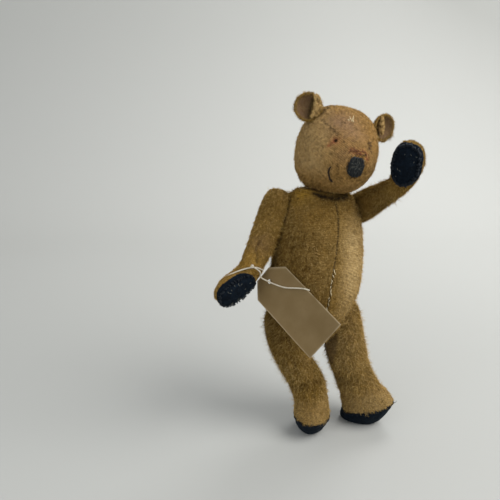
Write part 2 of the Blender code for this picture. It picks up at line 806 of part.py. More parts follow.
def add_string(arm, cage, parent):
    """The loop about the paw, its knot, and the free string that runs on over the tag."""
    surface = surface_of(cage)

    def over_arm(distance, turn, lift):
        point, _, side, palm = arm.frame_at(distance)
        spot, normal, _, _ = surface.ray_cast(point, side * math.cos(turn) + palm * math.sin(turn))
        return spot + normal * lift, normal

    loop = []
    for i in range(LOOP_POINTS):
        turn = 2 * math.pi * i / LOOP_POINTS
        reach = LOOP_REACH * max(0.0, math.cos(turn - LOOP_TURN)) ** 2
        loop.append(over_arm(LOOP_AT + reach, turn, STRING_LIFT))
    knot = loop[KNOT_AT][0] + loop[KNOT_AT][1] * (KNOT_R + STRING_R + GAP)
    ring = [place for place, _ in loop]
    hang_curve(wire_object("wrist_loop", ring, STRING_R, 2, STRING, closed=True), parent)
    bm = bmesh.new()
    bmesh.ops.create_icosphere(bm, subdivisions=2, radius=KNOT_R * MM, matrix=Matrix.Translation(knot * MM))
    mesh = bpy.data.meshes.new("string_knot")
    bm.to_mesh(mesh)
    bm.free()
    link("string_knot", mesh, BEAR, parent, STRING)
    face = (TAG_FACE - TAG_DOWN * TAG_FACE.dot(TAG_DOWN)).normalized()
    across = TAG_DOWN.cross(face)
    over_hole = TAG_HOLE + face * STRING_OVER_TAG
    round_wrist = [over_arm(at, math.radians(turn), STRING_LIFT + 1.2)[0] for at, turn in STRING_ROUND]
    start = knot + (round_wrist[0] - knot).normalized() * (KNOT_R + GAP)
    guides = [start, *round_wrist, over_hole]
    guides += [over_hole + across * a + TAG_DOWN * d for a, d in STRING_TAIL]
    hang_curve(wire_object("tag_string", smooth_path(guides, 34), STRING_R, 2, STRING), parent)


def build():
    joints = list(JOINTS.values())
    add_soft_part("torso", torso_cage(), joints, None, None)
    neck = JOINTS["neck"]
    cage = head_cage()
    add_soft_part("head", cage, [], neck, neck.empty)
    add_ears(cage, head_frame(), neck.empty)
    add_face(cage, head_frame(), neck.empty)
    for name, arm in ARMS.items():
        cage = arm.cage(f"{name}_cage")
        add_soft_part(name, cage, [], arm.joint, arm.joint.empty)
        add_paw_pad(f"paw_pad_{name[-1]}", arm, cage)
    for name in LEG_SECTIONS:
        joint = JOINTS["hip" + name[3:]]
        add_soft_part(name, leg_cage(name), [], joint, joint.empty)
        add_foot_pad(name, joint.empty)
    for joint in joints:
        joint.add_hardware()
    arm = ARMS["arm_r"]
    add_tag(arm.joint.empty)
    add_string(arm, arm.cage("string_cage"), arm.joint.empty)
    stand_at_origin()


def stand_at_origin():
    """Everything with no parent moves, the cutters too, and the rest goes with its joint: the soles to floor level."""
    for obj in bpy.data.objects:
        if obj.parent is None:
            obj.location.x -= FOOTPRINT_CENTRE[0] * MM
            obj.location.y -= FOOTPRINT_CENTRE[1] * MM
            obj.location.z += SOLE_DROP * MM
    bpy.context.view_layer.update()


build()
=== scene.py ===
import bpy
import bmesh
import json
import math
import random
import numpy as np
from mathutils import Matrix, Vector, noise
from mathutils.bvhtree import BVHTree
from mathutils.geometry import delaunay_2d_cdt

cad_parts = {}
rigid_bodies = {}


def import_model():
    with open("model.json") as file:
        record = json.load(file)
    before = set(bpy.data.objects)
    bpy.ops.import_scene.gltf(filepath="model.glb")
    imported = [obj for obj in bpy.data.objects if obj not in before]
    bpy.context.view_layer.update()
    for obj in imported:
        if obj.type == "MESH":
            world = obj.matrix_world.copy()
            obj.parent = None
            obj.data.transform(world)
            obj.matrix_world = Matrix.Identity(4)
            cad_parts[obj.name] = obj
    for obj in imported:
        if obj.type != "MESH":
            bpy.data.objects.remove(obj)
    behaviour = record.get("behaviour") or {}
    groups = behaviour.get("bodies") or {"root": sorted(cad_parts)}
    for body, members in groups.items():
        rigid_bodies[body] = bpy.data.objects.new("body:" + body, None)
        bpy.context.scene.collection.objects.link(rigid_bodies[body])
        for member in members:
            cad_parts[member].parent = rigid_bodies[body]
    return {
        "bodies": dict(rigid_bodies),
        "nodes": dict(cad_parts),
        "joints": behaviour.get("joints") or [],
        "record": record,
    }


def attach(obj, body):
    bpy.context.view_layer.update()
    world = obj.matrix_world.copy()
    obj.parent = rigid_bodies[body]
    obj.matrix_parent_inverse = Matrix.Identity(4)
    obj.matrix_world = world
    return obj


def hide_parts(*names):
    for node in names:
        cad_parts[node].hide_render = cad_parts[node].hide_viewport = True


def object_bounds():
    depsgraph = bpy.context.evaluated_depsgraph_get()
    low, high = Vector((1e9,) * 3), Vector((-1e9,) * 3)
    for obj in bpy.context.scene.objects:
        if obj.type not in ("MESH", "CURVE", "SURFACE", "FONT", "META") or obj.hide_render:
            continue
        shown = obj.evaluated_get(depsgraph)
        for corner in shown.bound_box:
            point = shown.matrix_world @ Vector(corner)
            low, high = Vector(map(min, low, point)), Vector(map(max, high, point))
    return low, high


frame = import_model()
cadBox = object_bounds()
cadNodes = frame["nodes"]
hinges = {joint["name"]: joint for joint in frame["joints"]}
mm = 0.001

# node helpers: an outlet is a node with the name or number of one of its outputs


def feed(tree, node, socket, value):
    # joins an outlet to a socket, or sets anything else on it
    if isinstance(value, tuple) and isinstance(value[0], bpy.types.Node):
        tree.links.new(value[0].outputs[value[1]], node.inputs[socket])
    else:
        node.inputs[socket].default_value = value


def addNode(tree, kind, sockets=None, **settings):
    made = tree.nodes.new(kind)
    for name, value in settings.items():
        setattr(made, name, value)
    for socket, value in (sockets or {}).items():
        feed(tree, made, socket, value)
    return made


def mathNode(tree, operation, *values):
    return addNode(tree, "ShaderNodeMath", dict(enumerate(values)), operation=operation), 0


def vectorMath(tree, operation, *values, scale=None):
    sockets = dict(enumerate(values))
    if scale:
        sockets["Scale"] = scale
    return addNode(tree, "ShaderNodeVectorMath", sockets, operation=operation), 0


def mixColors(tree, share, first, second):
    return addNode(tree, "ShaderNodeMix", {0: share, 6: first, 7: second}, data_type="RGBA"), 2


def rampNode(tree, source, low, high):
    sockets = {"Value": source, "From Min": low, "From Max": high}
    return addNode(tree, "ShaderNodeMapRange", sockets), "Result"


def rampShare(tree, source, low, high, times):
    return mathNode(tree, "MULTIPLY", rampNode(tree, source, low, high), times)


def objectPlace(tree):
    return addNode(tree, "ShaderNodeTexCoord"), "Object"


def texture(tree, kind, place, sockets, out="Fac", **settings):
    return addNode(tree, "ShaderNodeTex" + kind, {"Vector": place, **sockets}, **settings), out


def painted(tree, mark):
    return addNode(tree, "ShaderNodeAttribute", attribute_name=mark), "Fac"


def newTree(kind, name, inputs, output):
    # a node group: each input is given by its first value, or by the kind of its socket
    tree = bpy.data.node_groups.new(name, kind)
    valueKinds = {tuple: "Color", float: "Float", int: "Int"}
    for title, value in inputs.items():
        socketKind = value if isinstance(value, str) else valueKinds[type(value)]
        socket = tree.interface.new_socket(name=title, in_out="INPUT", socket_type="NodeSocket" + socketKind)
        if not isinstance(value, str):
            socket.default_value = value
    tree.interface.new_socket(name=output, in_out="OUTPUT", socket_type="NodeSocket" + output)
    return tree, tree.nodes.new("NodeGroupInput"), tree.nodes.new("NodeGroupOutput")


def principled(name, **sockets):
    # sockets are named with underscores for their spaces
    material = bpy.data.materials.new(name)
    material.use_nodes = True
    tree = material.node_tree
    shader = tree.nodes["Principled BSDF"]
    for socket, value in sockets.items():
        feed(tree, shader, socket.replace("_", " "), value)
    return material, tree, shader


def coatShader(tree, shader, color, height, strength, depth):
    bump = addNode(tree, "ShaderNodeBump", {"Height": height, "Strength": strength, "Distance": depth * mm})
    feed(tree, shader, "Base Color", color)
    feed(tree, shader, "Normal", (bump, "Normal"))


# camera, sweep and lights

cameraLook = {"place": (-0.22994, -0.52733, 0.3846), "pitch": 73.4, "heading": -17.27, "lens": 41.4}
sweepLook = {
    "width": 5.0, "front": -2.2, "bend": 0.75, "bendRadius": 0.6, "steps": 12, "height": 2.6,
    "floor": (0.37, 0.375, 0.363, 1), "backdrop": (0.45, 0.455, 0.44, 1), "fades": (0.0, 1.1),
}
lampLook = {  # each place is metres to the camera's right, towards it, and up
    "key": {"place": (1.5, 0.6, 1.8), "size": 1.9, "power": 62, "color": (1.0, 0.985, 0.95)},
    "fill": {"place": (-0.9, 1.0, 0.9), "size": 1.4, "power": 7, "color": (0.95, 0.98, 1.0)},
    "back": {"place": (0.5, -0.9, 1.1), "size": 0.7, "power": 7, "color": (1.0, 1.0, 1.0)},
}
worldLight = {"Color": (0.96, 0.98, 0.99, 1), "Strength": 0.55}
heading = math.radians(cameraLook["heading"])


def linkObject(name, data):
    obj = bpy.data.objects.new(name, data)
    bpy.context.scene.collection.objects.link(obj)
    return obj


def newMesh(name, verts, faces):
    mesh = bpy.data.meshes.new(name)
    mesh.from_pydata([tuple(vert) for vert in verts], [], faces)
    return mesh


def makeCamera():
    camera = linkObject("camera", bpy.data.cameras.new("camera"))
    camera.location = cameraLook["place"]
    camera.rotation_euler = (math.radians(cameraLook["pitch"]), 0, heading)
    camera.data.lens = cameraLook["lens"]
    bpy.context.scene.camera = camera


def makeSweep():
    look = sweepLook
    bend, radius = look["bend"], look["bendRadius"]
    profile = [(look["front"], 0.0), (bend, 0.0)]
    for step in range(1, look["steps"] + 1):  # the floor turns up into the backdrop
        turn = math.radians(90 * step / look["steps"])
        profile.append((bend + radius * math.sin(turn), radius * (1 - math.cos(turn))))
    profile.append((bend + radius, look["height"]))
    half = look["width"] / 2
    turned = Matrix.Rotation(heading, 3, "Z")
    points = [turned @ Vector((side * half, y, z)) for y, z in profile for side in (-1, 1)]
    faces = [(2 * i, 2 * i + 1, 2 * i + 3, 2 * i + 2) for i in range(len(profile) - 1)]
    mesh = newMesh("sweep", points, faces)
    mesh.shade_smooth()
    material, tree, shader = principled("palePaper", Roughness=0.75)
    aimed = addNode(
        tree, "ShaderNodeVectorRotate", {"Vector": objectPlace(tree), "Angle": -heading}, rotation_type="Z_AXIS"
    )
    apart = addNode(tree, "ShaderNodeSeparateXYZ", {"Vector": (aimed, "Vector")})
    depth, out = rampNode(tree, (apart, "Y"), *look["fades"])
    depth.interpolation_type = "SMOOTHSTEP"
    feed(tree, shader, "Base Color", mixColors(tree, (depth, out), look["floor"], look["backdrop"]))
    mesh.materials.append(material)
    linkObject("sweep", mesh)


def makeLamps():
    middle = (cadBox[0] + cadBox[1]) / 2
    for name, look in lampLook.items():
        lamp = bpy.data.lights.new(name, "AREA")
        lamp.shape = "DISK"
        lamp.size, lamp.energy, lamp.color = look["size"], look["power"], look["color"]
        obj = linkObject(name, lamp)
        right, near, up = look["place"]
        obj.location = Matrix.Rotation(heading, 3, "Z") @ Vector((right, -near, up))
        obj.rotation_mode = "QUATERNION"
        obj.rotation_quaternion = (obj.location - middle).to_track_quat("Z", "Y")
    world = bpy.data.worlds.new("softRoom")
    world.use_nodes = True
    for socket, value in worldLight.items():
        world.node_tree.nodes["Background"].inputs[socket].default_value = value
    bpy.context.scene.world = world
    bpy.context.scene.view_settings.view_transform = "Standard"


makeCamera()
makeSweep()
makeLamps()
print("stage, camera and lamps are up")

# materials

markTints = {  # what the attributes painted on a skin turn its color to
    # this paler tint serves real fading and also painted light on the side towards the key lamp and on raised
    # lumps
    "bleach": (0.66, 0.485, 0.240, 1),
    "gold": (0.52, 0.300, 0.045, 1),
    # this darker tint serves real dirt and also painted shade in dips, hollows, under the head and on the side
    # away from the key lamp
    "grime": (0.074, 0.038, 0.005, 1),
    "ash": (0.27, 0.165, 0.095, 1),
    "rust": (0.27, 0.085, 0.036, 1),
    "pitch": (0.010, 0.006, 0.003, 1),
}
groundLook = {
    "body": {
        "Base": (0.250, 0.148, 0.040, 1), "Faded": (0.350, 0.235, 0.090, 1), "Deep": (0.055, 0.027, 0.006, 1),
        "Speck Size": 900.0, "Speck Share": 0.65, "Tuft Size": 420.0, "Tuft Share": 0.55, "Crease Share": 0.45,
    },
    "head": {
        "Base": (0.365, 0.206, 0.068, 1), "Faded": (0.408, 0.250, 0.102, 1), "Deep": (0.090, 0.045, 0.014, 1),
        "Speck Size": 800.0, "Speck Share": 0.55, "Tuft Size": 460.0, "Tuft Share": 0.40, "Crease Share": 0.75,
    },
}
pileLook = {
    "body": {
        "Base": (0.360, 0.212, 0.040, 1), "Faded": (0.460, 0.300, 0.080, 1), "Deep": (0.085, 0.042, 0.005, 1),
        "Speck Size": 480.0, "Speck Share": 0.40, "Tuft Size": 340.0, "Tuft Share": 0.50, "Crease Share": 0.45,
    },
    "head": {
        "Base": (0.720, 0.436, 0.130, 1), "Faded": (0.760, 0.492, 0.182, 1), "Deep": (0.085, 0.040, 0.010, 1),
        "Speck Size": 420.0, "Speck Share": 0.75, "Tuft Size": 320.0, "Tuft Share": 0.85, "Crease Share": 0.80,
    },
    "hairs": {
        "Base": (0.640, 0.440, 0.150, 1), "Faded": (0.780, 0.590, 0.290, 1), "Deep": (0.340, 0.215, 0.060, 1),
        "Speck Size": 480.0, "Speck Share": 0.40, "Tuft Size": 340.0, "Tuft Share": 0.40, "Crease Share": 0.75,
    },
}
fibreLook = {"pale": (0.66, 0.46, 0.18, 1), "dull": (0.085, 0.046, 0.008, 1)}
velvetLook = {
    "base": (0.0008, 0.0026, 0.0058, 1), "nap": (0.0034, 0.0080, 0.0150, 1), "worn": (0.030, 0.038, 0.044, 1),
}
cardLook = {
    "dark": (0.155, 0.101, 0.038, 1), "pale": (0.188, 0.128, 0.055, 1),
    "fleck": (0.12, 0.075, 0.03, 1), "edge": (0.36, 0.28, 0.17, 1),
}


def fadedClothGroup():
    # uneven fading, mottles and specks over a base color, painted shade in the gaps between tufts and along
    # creases, then the marks painted on the skin
    group, given, result = newTree("ShaderNodeTree", "fadedCloth", groundLook["body"], "Color")
    place, deep = objectPlace(group), (given, "Deep")
    big = texture(group, "Noise", place, {"Scale": 26.0, "Detail": 3.0, "Roughness": 0.6})
    middle = texture(group, "Noise", place, {"Scale": 150.0, "Detail": 3.0, "Roughness": 0.65})
    fine = texture(group, "Noise", place, {"Scale": (given, "Speck Size"), "Detail": 2.0, "Roughness": 0.7})
    wander = texture(group, "Noise", place, {"Scale": 240.0, "Detail": 2.0}, "Color")
    pushed = vectorMath(group, "MULTIPLY_ADD", wander, (0.0032, 0.0032, 0.0032), place)
    tufts = texture(group, "Voronoi", pushed, {"Scale": (given, "Tuft Size"), "Randomness": 1.0}, "Distance")
    edges = texture(
        group, "Voronoi", pushed, {"Scale": 170.0, "Randomness": 1.0}, "Distance", feature="DISTANCE_TO_EDGE"
    )
    creases = rampShare(group, edges, 0.10, 0.02, rampNode(group, big, 0.46, 0.58))
    color = mixColors(group, rampNode(group, big, 0.36, 0.66), (given, "Base"), (given, "Faded"))
    for share in (
        rampShare(group, middle, 0.52, 0.78, 0.55),
        rampShare(group, fine, 0.46, 0.66, (given, "Speck Share")),
        # painted shade: the gaps between tufts and the creases darken towards Deep
        rampShare(group, tufts, 0.30, 0.78, (given, "Tuft Share")),
        mathNode(group, "MULTIPLY", creases, (given, "Crease Share")),
    ):
        color = mixColors(group, share, color, deep)
    for mark, tint in markTints.items():
        uneven = mathNode(group, "MULTIPLY", painted(group, mark), rampNode(group, middle, 0.25, 0.6))
        even = mathNode(group, "MULTIPLY", painted(group, mark), 0.72)
        color = mixColors(group, mathNode(group, "MAXIMUM", uneven, even), color, tint)
    feed(group, result, "Color", color)
    return group


fadedCloth = fadedClothGroup()


def clothColor(tree, look):
    return addNode(tree, "ShaderNodeGroup", look, node_tree=fadedCloth), "Color"


def makeGround(kind):
    # woven backing that shows where the pile has gone: rows of knots across a fine weave, with painted shade in
    # the troughs between the rows
    material, tree, shader = principled(kind + "Cloth", Roughness=0.92, Specular_IOR_Level=0.12)
    place = objectPlace(tree)
    wobble = texture(tree, "Noise", place, {"Scale": 300.0, "Detail": 2.0})
    ridges = mathNode(tree, "SINE", mathNode(tree, "MULTIPLY_ADD", wobble, 4.5, painted(tree, "rows")))
    knots = texture(tree, "Voronoi", place, {"Scale": 1300.0}, "Distance")
    height = mathNode(tree, "SUBTRACT", mathNode(tree, "MULTIPLY", ridges, 0.35), knots)
    # painted shade: darker where the rows dip
    dark = rampShare(tree, ridges, 0.2, -1.0, 0.30)
    color = mixColors(tree, dark, clothColor(tree, groundLook[kind]), groundLook[kind]["Deep"])
    coatShader(tree, shader, color, height, 0.8, 0.4)
    return material


def makePile(kind):
    # the mohair fibres: painted shade darkens them towards the root, and some of them are paler or duller than
    # the rest
    material, tree, shader = principled(
        kind + "Mohair", Roughness=0.85, Sheen_Weight=0.15, Sheen_Roughness=0.5,
        Sheen_Tint=(1.0, 0.74, 0.34, 1), Specular_IOR_Level=0.04,
    )
    rootShade = rampShare(tree, painted(tree, "along"), 0.75, 0.0, 0.55)
    color = mixColors(tree, rootShade, clothColor(tree, pileLook[kind]), pileLook[kind]["Deep"])
    hue = painted(tree, "hue")
    color = mixColors(tree, rampShare(tree, hue, 0.72, 1.0, 0.6), color, fibreLook["pale"])
    dull = rampShare(tree, hue, 0.28, 0.0, 0.15 if kind == "hairs" else 0.50)
    feed(tree, shader, "Base Color", mixColors(tree, dull, color, fibreLook["dull"]))
    return material


def makeVelvet():
    material, tree, shader = principled(
        "navyVelvet", Roughness=0.85, Sheen_Weight=0.04, Sheen_Roughness=0.5, Sheen_Tint=(0.15, 0.30, 0.45, 1),
        Specular_IOR_Level=0.10,
    )
    place = objectPlace(tree)
    sockets = {"Scale": 170.0, "Detail": 4.0, "Roughness": 0.65, "Distortion": 0.6}
    crushed = texture(tree, "Noise", place, sockets)
    lint = texture(tree, "Noise", place, {"Scale": 700.0, "Detail": 2.0})
    color = mixColors(tree, rampNode(tree, crushed, 0.42, 0.72), velvetLook["base"], velvetLook["nap"])
    color = mixColors(tree, rampShare(tree, lint, 0.64, 0.78, 0.5), color, velvetLook["worn"])
    coatShader(tree, shader, color, mathNode(tree, "ADD", crushed, lint), 0.6, 0.5)
    return material


def makeThread(name, color, shade, roughness=0.7):
    # a spun thread: its plies follow the 'ply' attribute, with painted shade in the grooves between them
    material, tree, shader = principled(name, Roughness=roughness, Specular_IOR_Level=0.25)
    wave = mathNode(tree, "SINE", painted(tree, "ply"))
    darkening = texture(tree, "Noise", objectPlace(tree), {"Scale": 260.0, "Detail": 3.0})
    first = mixColors(tree, rampShare(tree, wave, 0.4, -1.0, 0.6), (*color, 1), (*shade, 1))
    last = mixColors(tree, rampShare(tree, darkening, 0.50, 0.75, 0.5), first, (*shade, 1))
    coatShader(tree, shader, last, wave, 0.5, 0.12)
    return material


def makeCard():
    material, tree, shader = principled("manilaCard", Roughness=0.78, Specular_IOR_Level=0.35)
    place = objectPlace(tree)
    clouds = texture(tree, "Noise", place, {"Scale": 45.0, "Detail": 4.0})
    fibres = texture(tree, "Noise", place, {"Scale": 900.0, "Detail": 2.0, "Roughness": 0.6})
    flecks = texture(tree, "Noise", place, {"Scale": 420.0, "Detail": 1.0})
    color = mixColors(tree, rampNode(tree, clouds, 0.35, 0.7), cardLook["dark"], cardLook["pale"])
    color = mixColors(tree, rampShare(tree, flecks, 0.66, 0.76, 0.35), color, cardLook["fleck"])
    # paler rim: worn card edges, and also a painted highlight along them
    worn = mathNode(tree, "MULTIPLY", painted(tree, "edge"), rampNode(tree, clouds, 0.3, 0.6))
    coatShader(tree, shader, mixColors(tree, worn, color, cardLook["edge"]), fibres, 0.25, 0.1)
    return material


def makeGrained(name, pale, dark, stretch, roughness, depth, metallic=0.0):
    # wood wool, pressed board and plated steel: noise drawn out along one direction
    material, tree, shader = principled(name, Roughness=roughness, Metallic=metallic)
    drawn = addNode(tree, "ShaderNodeMapping", {"Vector": objectPlace(tree), "Scale": stretch})
    sockets = {"Scale": 120.0, "Detail": 5.0, "Roughness": 0.7, "Distortion": 0.8}
    grain = texture(tree, "Noise", (drawn, "Vector"), sockets)
    color = mixColors(tree, rampNode(tree, grain, 0.35, 0.7), (*dark, 1), (*pale, 1))
    coatShader(tree, shader, color, grain, 0.6, depth)
    return material


clothGrounds = {kind: makeGround(kind) for kind in groundLook}
mohairPiles = {kind: makePile(kind) for kind in pileLook}
navyVelvet = makeVelvet()
navyThread = makeThread("navyThread", (0.003, 0.007, 0.013), (0.001, 0.002, 0.004))
noseThread = makeThread("noseThread", (0.0075, 0.010, 0.011), (0.001, 0.001, 0.002), 0.5)
darkThread = makeThread("darkThread", (0.030, 0.017, 0.008), (0.008, 0.004, 0.002))
rustThread = makeThread("rustThread", (0.19, 0.065, 0.028), (0.06, 0.020, 0.008))
paleThread = makeThread("paleThread", (0.80, 0.68, 0.44), (0.50, 0.38, 0.20))
brownThread = makeThread("brownThread", (0.110, 0.062, 0.030), (0.035, 0.018, 0.008))
cottonString = makeThread("cottonString", (0.66, 0.61, 0.50), (0.36, 0.31, 0.23), 0.85)
manilaCard = makeCard()
# grey threads for lint, also used as painted highlights on the nose and on the pads' wrinkles
greyLint = makeThread("greyLint", (0.150, 0.150, 0.125), (0.045, 0.050, 0.048), 0.9)
woodWool = makeGrained("woodWool", (0.60, 0.47, 0.27), (0.33, 0.22, 0.10), (1, 6, 6), 0.9, 0.6)
pressedBoard = makeGrained("pressedBoard", (0.30, 0.19, 0.10), (0.20, 0.12, 0.06), (4, 4, 4), 0.75, 0.05)
platedSteel = makeGrained("platedSteel", (0.56, 0.56, 0.57), (0.42, 0.42, 0.43), (1, 1, 9), 0.38, 0.02, 1.0)
print("materials are mixed")

# places and frames

neckPlace = Vector(hinges["neck_turn"]["pos_m"])
headFrame = (
    Matrix.Translation(neckPlace) @ Matrix.Rotation(math.radians(13.5), 4, "Y")
    @ Matrix.Rotation(math.radians(-3), 4, "Z") @ Matrix.Rotation(math.radians(6), 4, "X")
)
torsoFrame = Matrix.Translation((14.1 * mm, 20.8 * mm, 122.6 * mm)) @ Matrix.Rotation(math.radians(4), 4, "Y")


def inFrame(place, points):
    # points in millimetres in a frame, as an array of places in metres
    return np.array([place @ (Vector(point) * mm) for point in points])


def inHead(*points):
    return inFrame(headFrame, points)


def inTorso(*points):
    return inFrame(torsoFrame, points)


def toFrame(place, points):
    # the other way round, for whole arrays
    back = np.array(place.inverted())
    return (points @ back[:3, :3].T + back[:3, 3]) / mm


# mesh helpers


def dress(obj, material):
    obj.data.materials.clear()
    obj.data.materials.append(material)


def grown(obj, **kept):
    # the mesh that an object's modifiers make
    bpy.context.view_layer.update()
    graph = bpy.context.evaluated_depsgraph_get()
    return bpy.data.meshes.new_from_object(obj.evaluated_get(graph), depsgraph=graph, **kept)


def readPoints(mesh):
    points = np.empty(len(mesh.vertices) * 3)
    mesh.vertices.foreach_get("co", points)
    normals = np.empty(len(mesh.vertices) * 3)
    mesh.vertex_normals.foreach_get("vector", normals)
    return points.reshape(-1, 3), normals.reshape(-1, 3)


def writePoints(mesh, points):
    mesh.vertices.foreach_set("co", np.ascontiguousarray(points, dtype=np.float32).ravel())
    mesh.update()


def setMark(mesh, name, values):
    attribute = mesh.attributes.get(name) or mesh.attributes.new(name, "FLOAT", "POINT")
    attribute.data.foreach_set("value", np.asarray(values, dtype=np.float32))


def setArrow(mesh, name, vectors):
    attribute = mesh.attributes.new(name, "FLOAT_VECTOR", "POINT")
    attribute.data.foreach_set("vector", np.asarray(vectors, dtype=np.float32).ravel())


def weldedShape(node):
    shape = bmesh.new()
    shape.from_mesh(cadNodes[node].data)
    bmesh.ops.remove_doubles(shape, verts=shape.verts, dist=2e-6)
    return shape


def shapeMesh(name, shape):
    mesh = bpy.data.meshes.new(name)
    shape.to_mesh(mesh)
    shape.free()
    return mesh


def nodeCopy(node):
    return shapeMesh(node, weldedShape(node))


def faceOutwards(mesh):
    shape = bmesh.new()
    shape.from_mesh(mesh)
    bmesh.ops.recalc_face_normals(shape, faces=shape.faces)
    shape.to_mesh(mesh)
    shape.free()


pinHole = {"depth": 4, "radius": 2.35}  # a pin's hole lies inside this cylinder about its joint, in millimetres


def outerWall(node, joints):
    # the outside of a hollow cover, with its pin holes closed
    shell = weldedShape(node)
    holes = []
    for joint in joints:
        place, axis = Vector(hinges[joint]["pos_m"]), Vector(hinges[joint]["axis"]).normalized()
        for face in shell.faces:
            offsets = [vert.co - place for vert in face.verts]
            if all(
                abs(offset.dot(axis)) < pinHole["depth"] * mm
                and (offset - axis * offset.dot(axis)).length < pinHole["radius"] * mm
                for offset in offsets
            ):
                holes.append(face)
    bmesh.ops.delete(shell, geom=list(set(holes)), context="FACES")
    shell.verts.ensure_lookup_table()
    middle = sum((vert.co for vert in shell.verts), Vector()) / len(shell.verts)
    start = max(shell.verts, key=lambda vert: (vert.co - middle).length)
    found = {start}
    queue = [start]
    while queue:
        for edge in queue.pop().link_edges:
            for vert in edge.verts:
                if vert not in found:
                    found.add(vert)
                    queue.append(vert)
    bmesh.ops.delete(shell, geom=[vert for vert in shell.verts if vert not in found], context="VERTS")
    bmesh.ops.holes_fill(shell, edges=[edge for edge in shell.edges if edge.is_boundary], sides=0)
    return shapeMesh(node, shell)


def rounded(name, mesh, voxel, rounds, swell):
    # an even mesh of a shape, with its facets smoothed out
    obj = linkObject(name, mesh)
    remesh = obj.modifiers.new("remesh", "REMESH")
    remesh.mode = "VOXEL"
    remesh.voxel_size = voxel * mm
    smooth = obj.modifiers.new("smooth", "SMOOTH")
    smooth.factor = 0.5
    smooth.iterations = rounds
    even = grown(obj)
    obj.modifiers.clear()
    obj.data = even
    bpy.data.meshes.remove(mesh)
    even.name = name
    even.shade_smooth()
    points, normals = readPoints(even)
    writePoints(even, points + normals * swell * mm)
    return obj


def unit(values):
    return np.clip(values, 0, 1)


def bell(distance, width):
    return np.exp(-((distance / width) ** 2))


def norms(vectors):
    return np.linalg.norm(vectors, axis=1)


def cloud(points, size, seed, octaves=2):
    # smooth noise from about -1 to 1, with lumps of that size in millimetres
    shift = Vector((seed * 7.31, seed * 3.17, seed * 1.73))
    scale = 1 / (size * mm)
    return np.array([noise.fractal(Vector(point) * scale + shift, 1.0, 2.0, octaves) for point in points])


def lineDistance(points, line):
    # how far each point is from a chain of places, in millimetres
    nearest = np.full(len(points), 1e9)
    for start, end in zip(line[:-1], line[1:]):
        step = end - start
        share = unit(((points - start) @ step) / (step @ step))
        nearest = np.minimum(nearest, norms(points - start - share[:, None] * step))
    return nearest / mm


def spot(points, place, radius):
    return bell(norms(points - place), radius * mm)


def laid(points, places):
    # each place moved to the nearest of a skin's points
    return np.array([points[np.argmin(norms(points - np.array(place)))] for place in places])


def smoothLine(places, count):
    # points spread along a smooth curve through the given ones
    places = [Vector(place) for place in places]
    last = len(places) - 1
    line = []
    for number in range(count):
        at = last * number / (count - 1)
        k = min(int(at), last - 1)
        t = at - k
        before, start, end, after = places[max(k - 1, 0)], places[k], places[k + 1], places[min(k + 2, last)]
        line.append(
            (start * 2 + (end - before) * t + (before * 2 - start * 5 + end * 4 - after) * t * t
             + (start * 3 - before - end * 3 + after) * t ** 3) / 2
        )
    return line


def surfaceTree(obj):
    points, _ = readPoints(obj.data)
    faces = [tuple(face.vertices) for face in obj.data.polygons]
    return BVHTree.FromPolygons([Vector(point) for point in points], faces)


def evenLine(line, step, closed=False):
    # the same line with points a step apart
    line = [Vector(point) for point in line]
    if closed:
        line = line + [line[0]]
    reached = [0.0]
    for start, end in zip(line[:-1], line[1:]):
        reached.append(reached[-1] + (end - start).length)
    count = max(int(round(reached[-1] / step)), 2)
    made = []
    k = 0
    for number in range(count if closed else count + 1):
        at = reached[-1] * number / count
        while k < len(line) - 2 and reached[k + 1] < at:
            k += 1
        share = (at - reached[k]) / max(reached[k + 1] - reached[k], 1e-12)
        made.append(line[k].lerp(line[k + 1], share))
    return made


def waysAlong(line, closed):
    # the way that a line runs at each of its points
    count = len(line)
    tangents = []
    for number in range(count):
        if closed:
            tangent = line[(number + 1) % count] - line[number - 1]
        else:
            tangent = line[min(number + 1, count - 1)] - line[max(number - 1, 0)]
        tangents.append(tangent.normalized())
    return tangents


def tubeMesh(target, line, radii, sides=6, closed=False, plyRate=0.0):
    # adds a tube along a line to the target's verts, faces and ply numbers
    verts, faces, plies = target
    count = len(line)
    first = len(verts)
    tangents = waysAlong(line, closed)
    across = tangents[0].orthogonal().normalized()
    travelled = 0.0
    for number, place in enumerate(line):
        across = (across - tangents[number] * across.dot(tangents[number])).normalized()
        other = tangents[number].cross(across)
        radius = radii[number] if isinstance(radii, list) else radii
        if number:
            travelled += (place - line[number - 1]).length
        for side in range(sides):
            turn = 2 * math.pi * side / sides
            verts.append(place + (across * math.cos(turn) + other * math.sin(turn)) * radius)
            plies.append(travelled / mm * plyRate + turn * 2)
    for number in range(count if closed else count - 1):
        low, high = first + number * sides, first + (number + 1) % count * sides
        for side in range(sides):
            after = (side + 1) % sides
            faces.append((low + side, low + after, high + after, high + side))
    if not closed:
        faces.append(tuple(first + side for side in reversed(range(sides))))
        faces.append(tuple(first + (count - 1) * sides + side for side in range(sides)))


plyLook = {"turn": 3.2, "plies": 2, "out": 0.47, "radius": 0.56, "rate": 2.2}


def pliedMesh(target, line, radius, closed=False):
    # a string twisted from plies, each a share of its radius out from the middle
    look, count = plyLook, len(line)
    steps = count if closed else count - 1
    turns = sum((line[(n + 1) % count] - line[n]).length for n in range(steps)) / (look["turn"] * mm)
    if closed:
        turns = round(turns)
    across = (line[1] - line[0]).orthogonal().normalized()
    frames = []
    for tangent in waysAlong(line, closed):
        across = (across - tangent * across.dot(tangent)).normalized()
        frames.append((across.copy(), tangent.cross(across)))
    for ply in range(look["plies"]):
        strand = []
        for number, place in enumerate(line):
            turn = 2 * math.pi * (turns * number / steps + ply / look["plies"])
            across, other = frames[number]
            strand.append(place + (across * math.cos(turn) + other * math.sin(turn)) * radius * look["out"])
        tubeMesh(target, strand, radius * look["radius"], 6, closed, look["rate"])


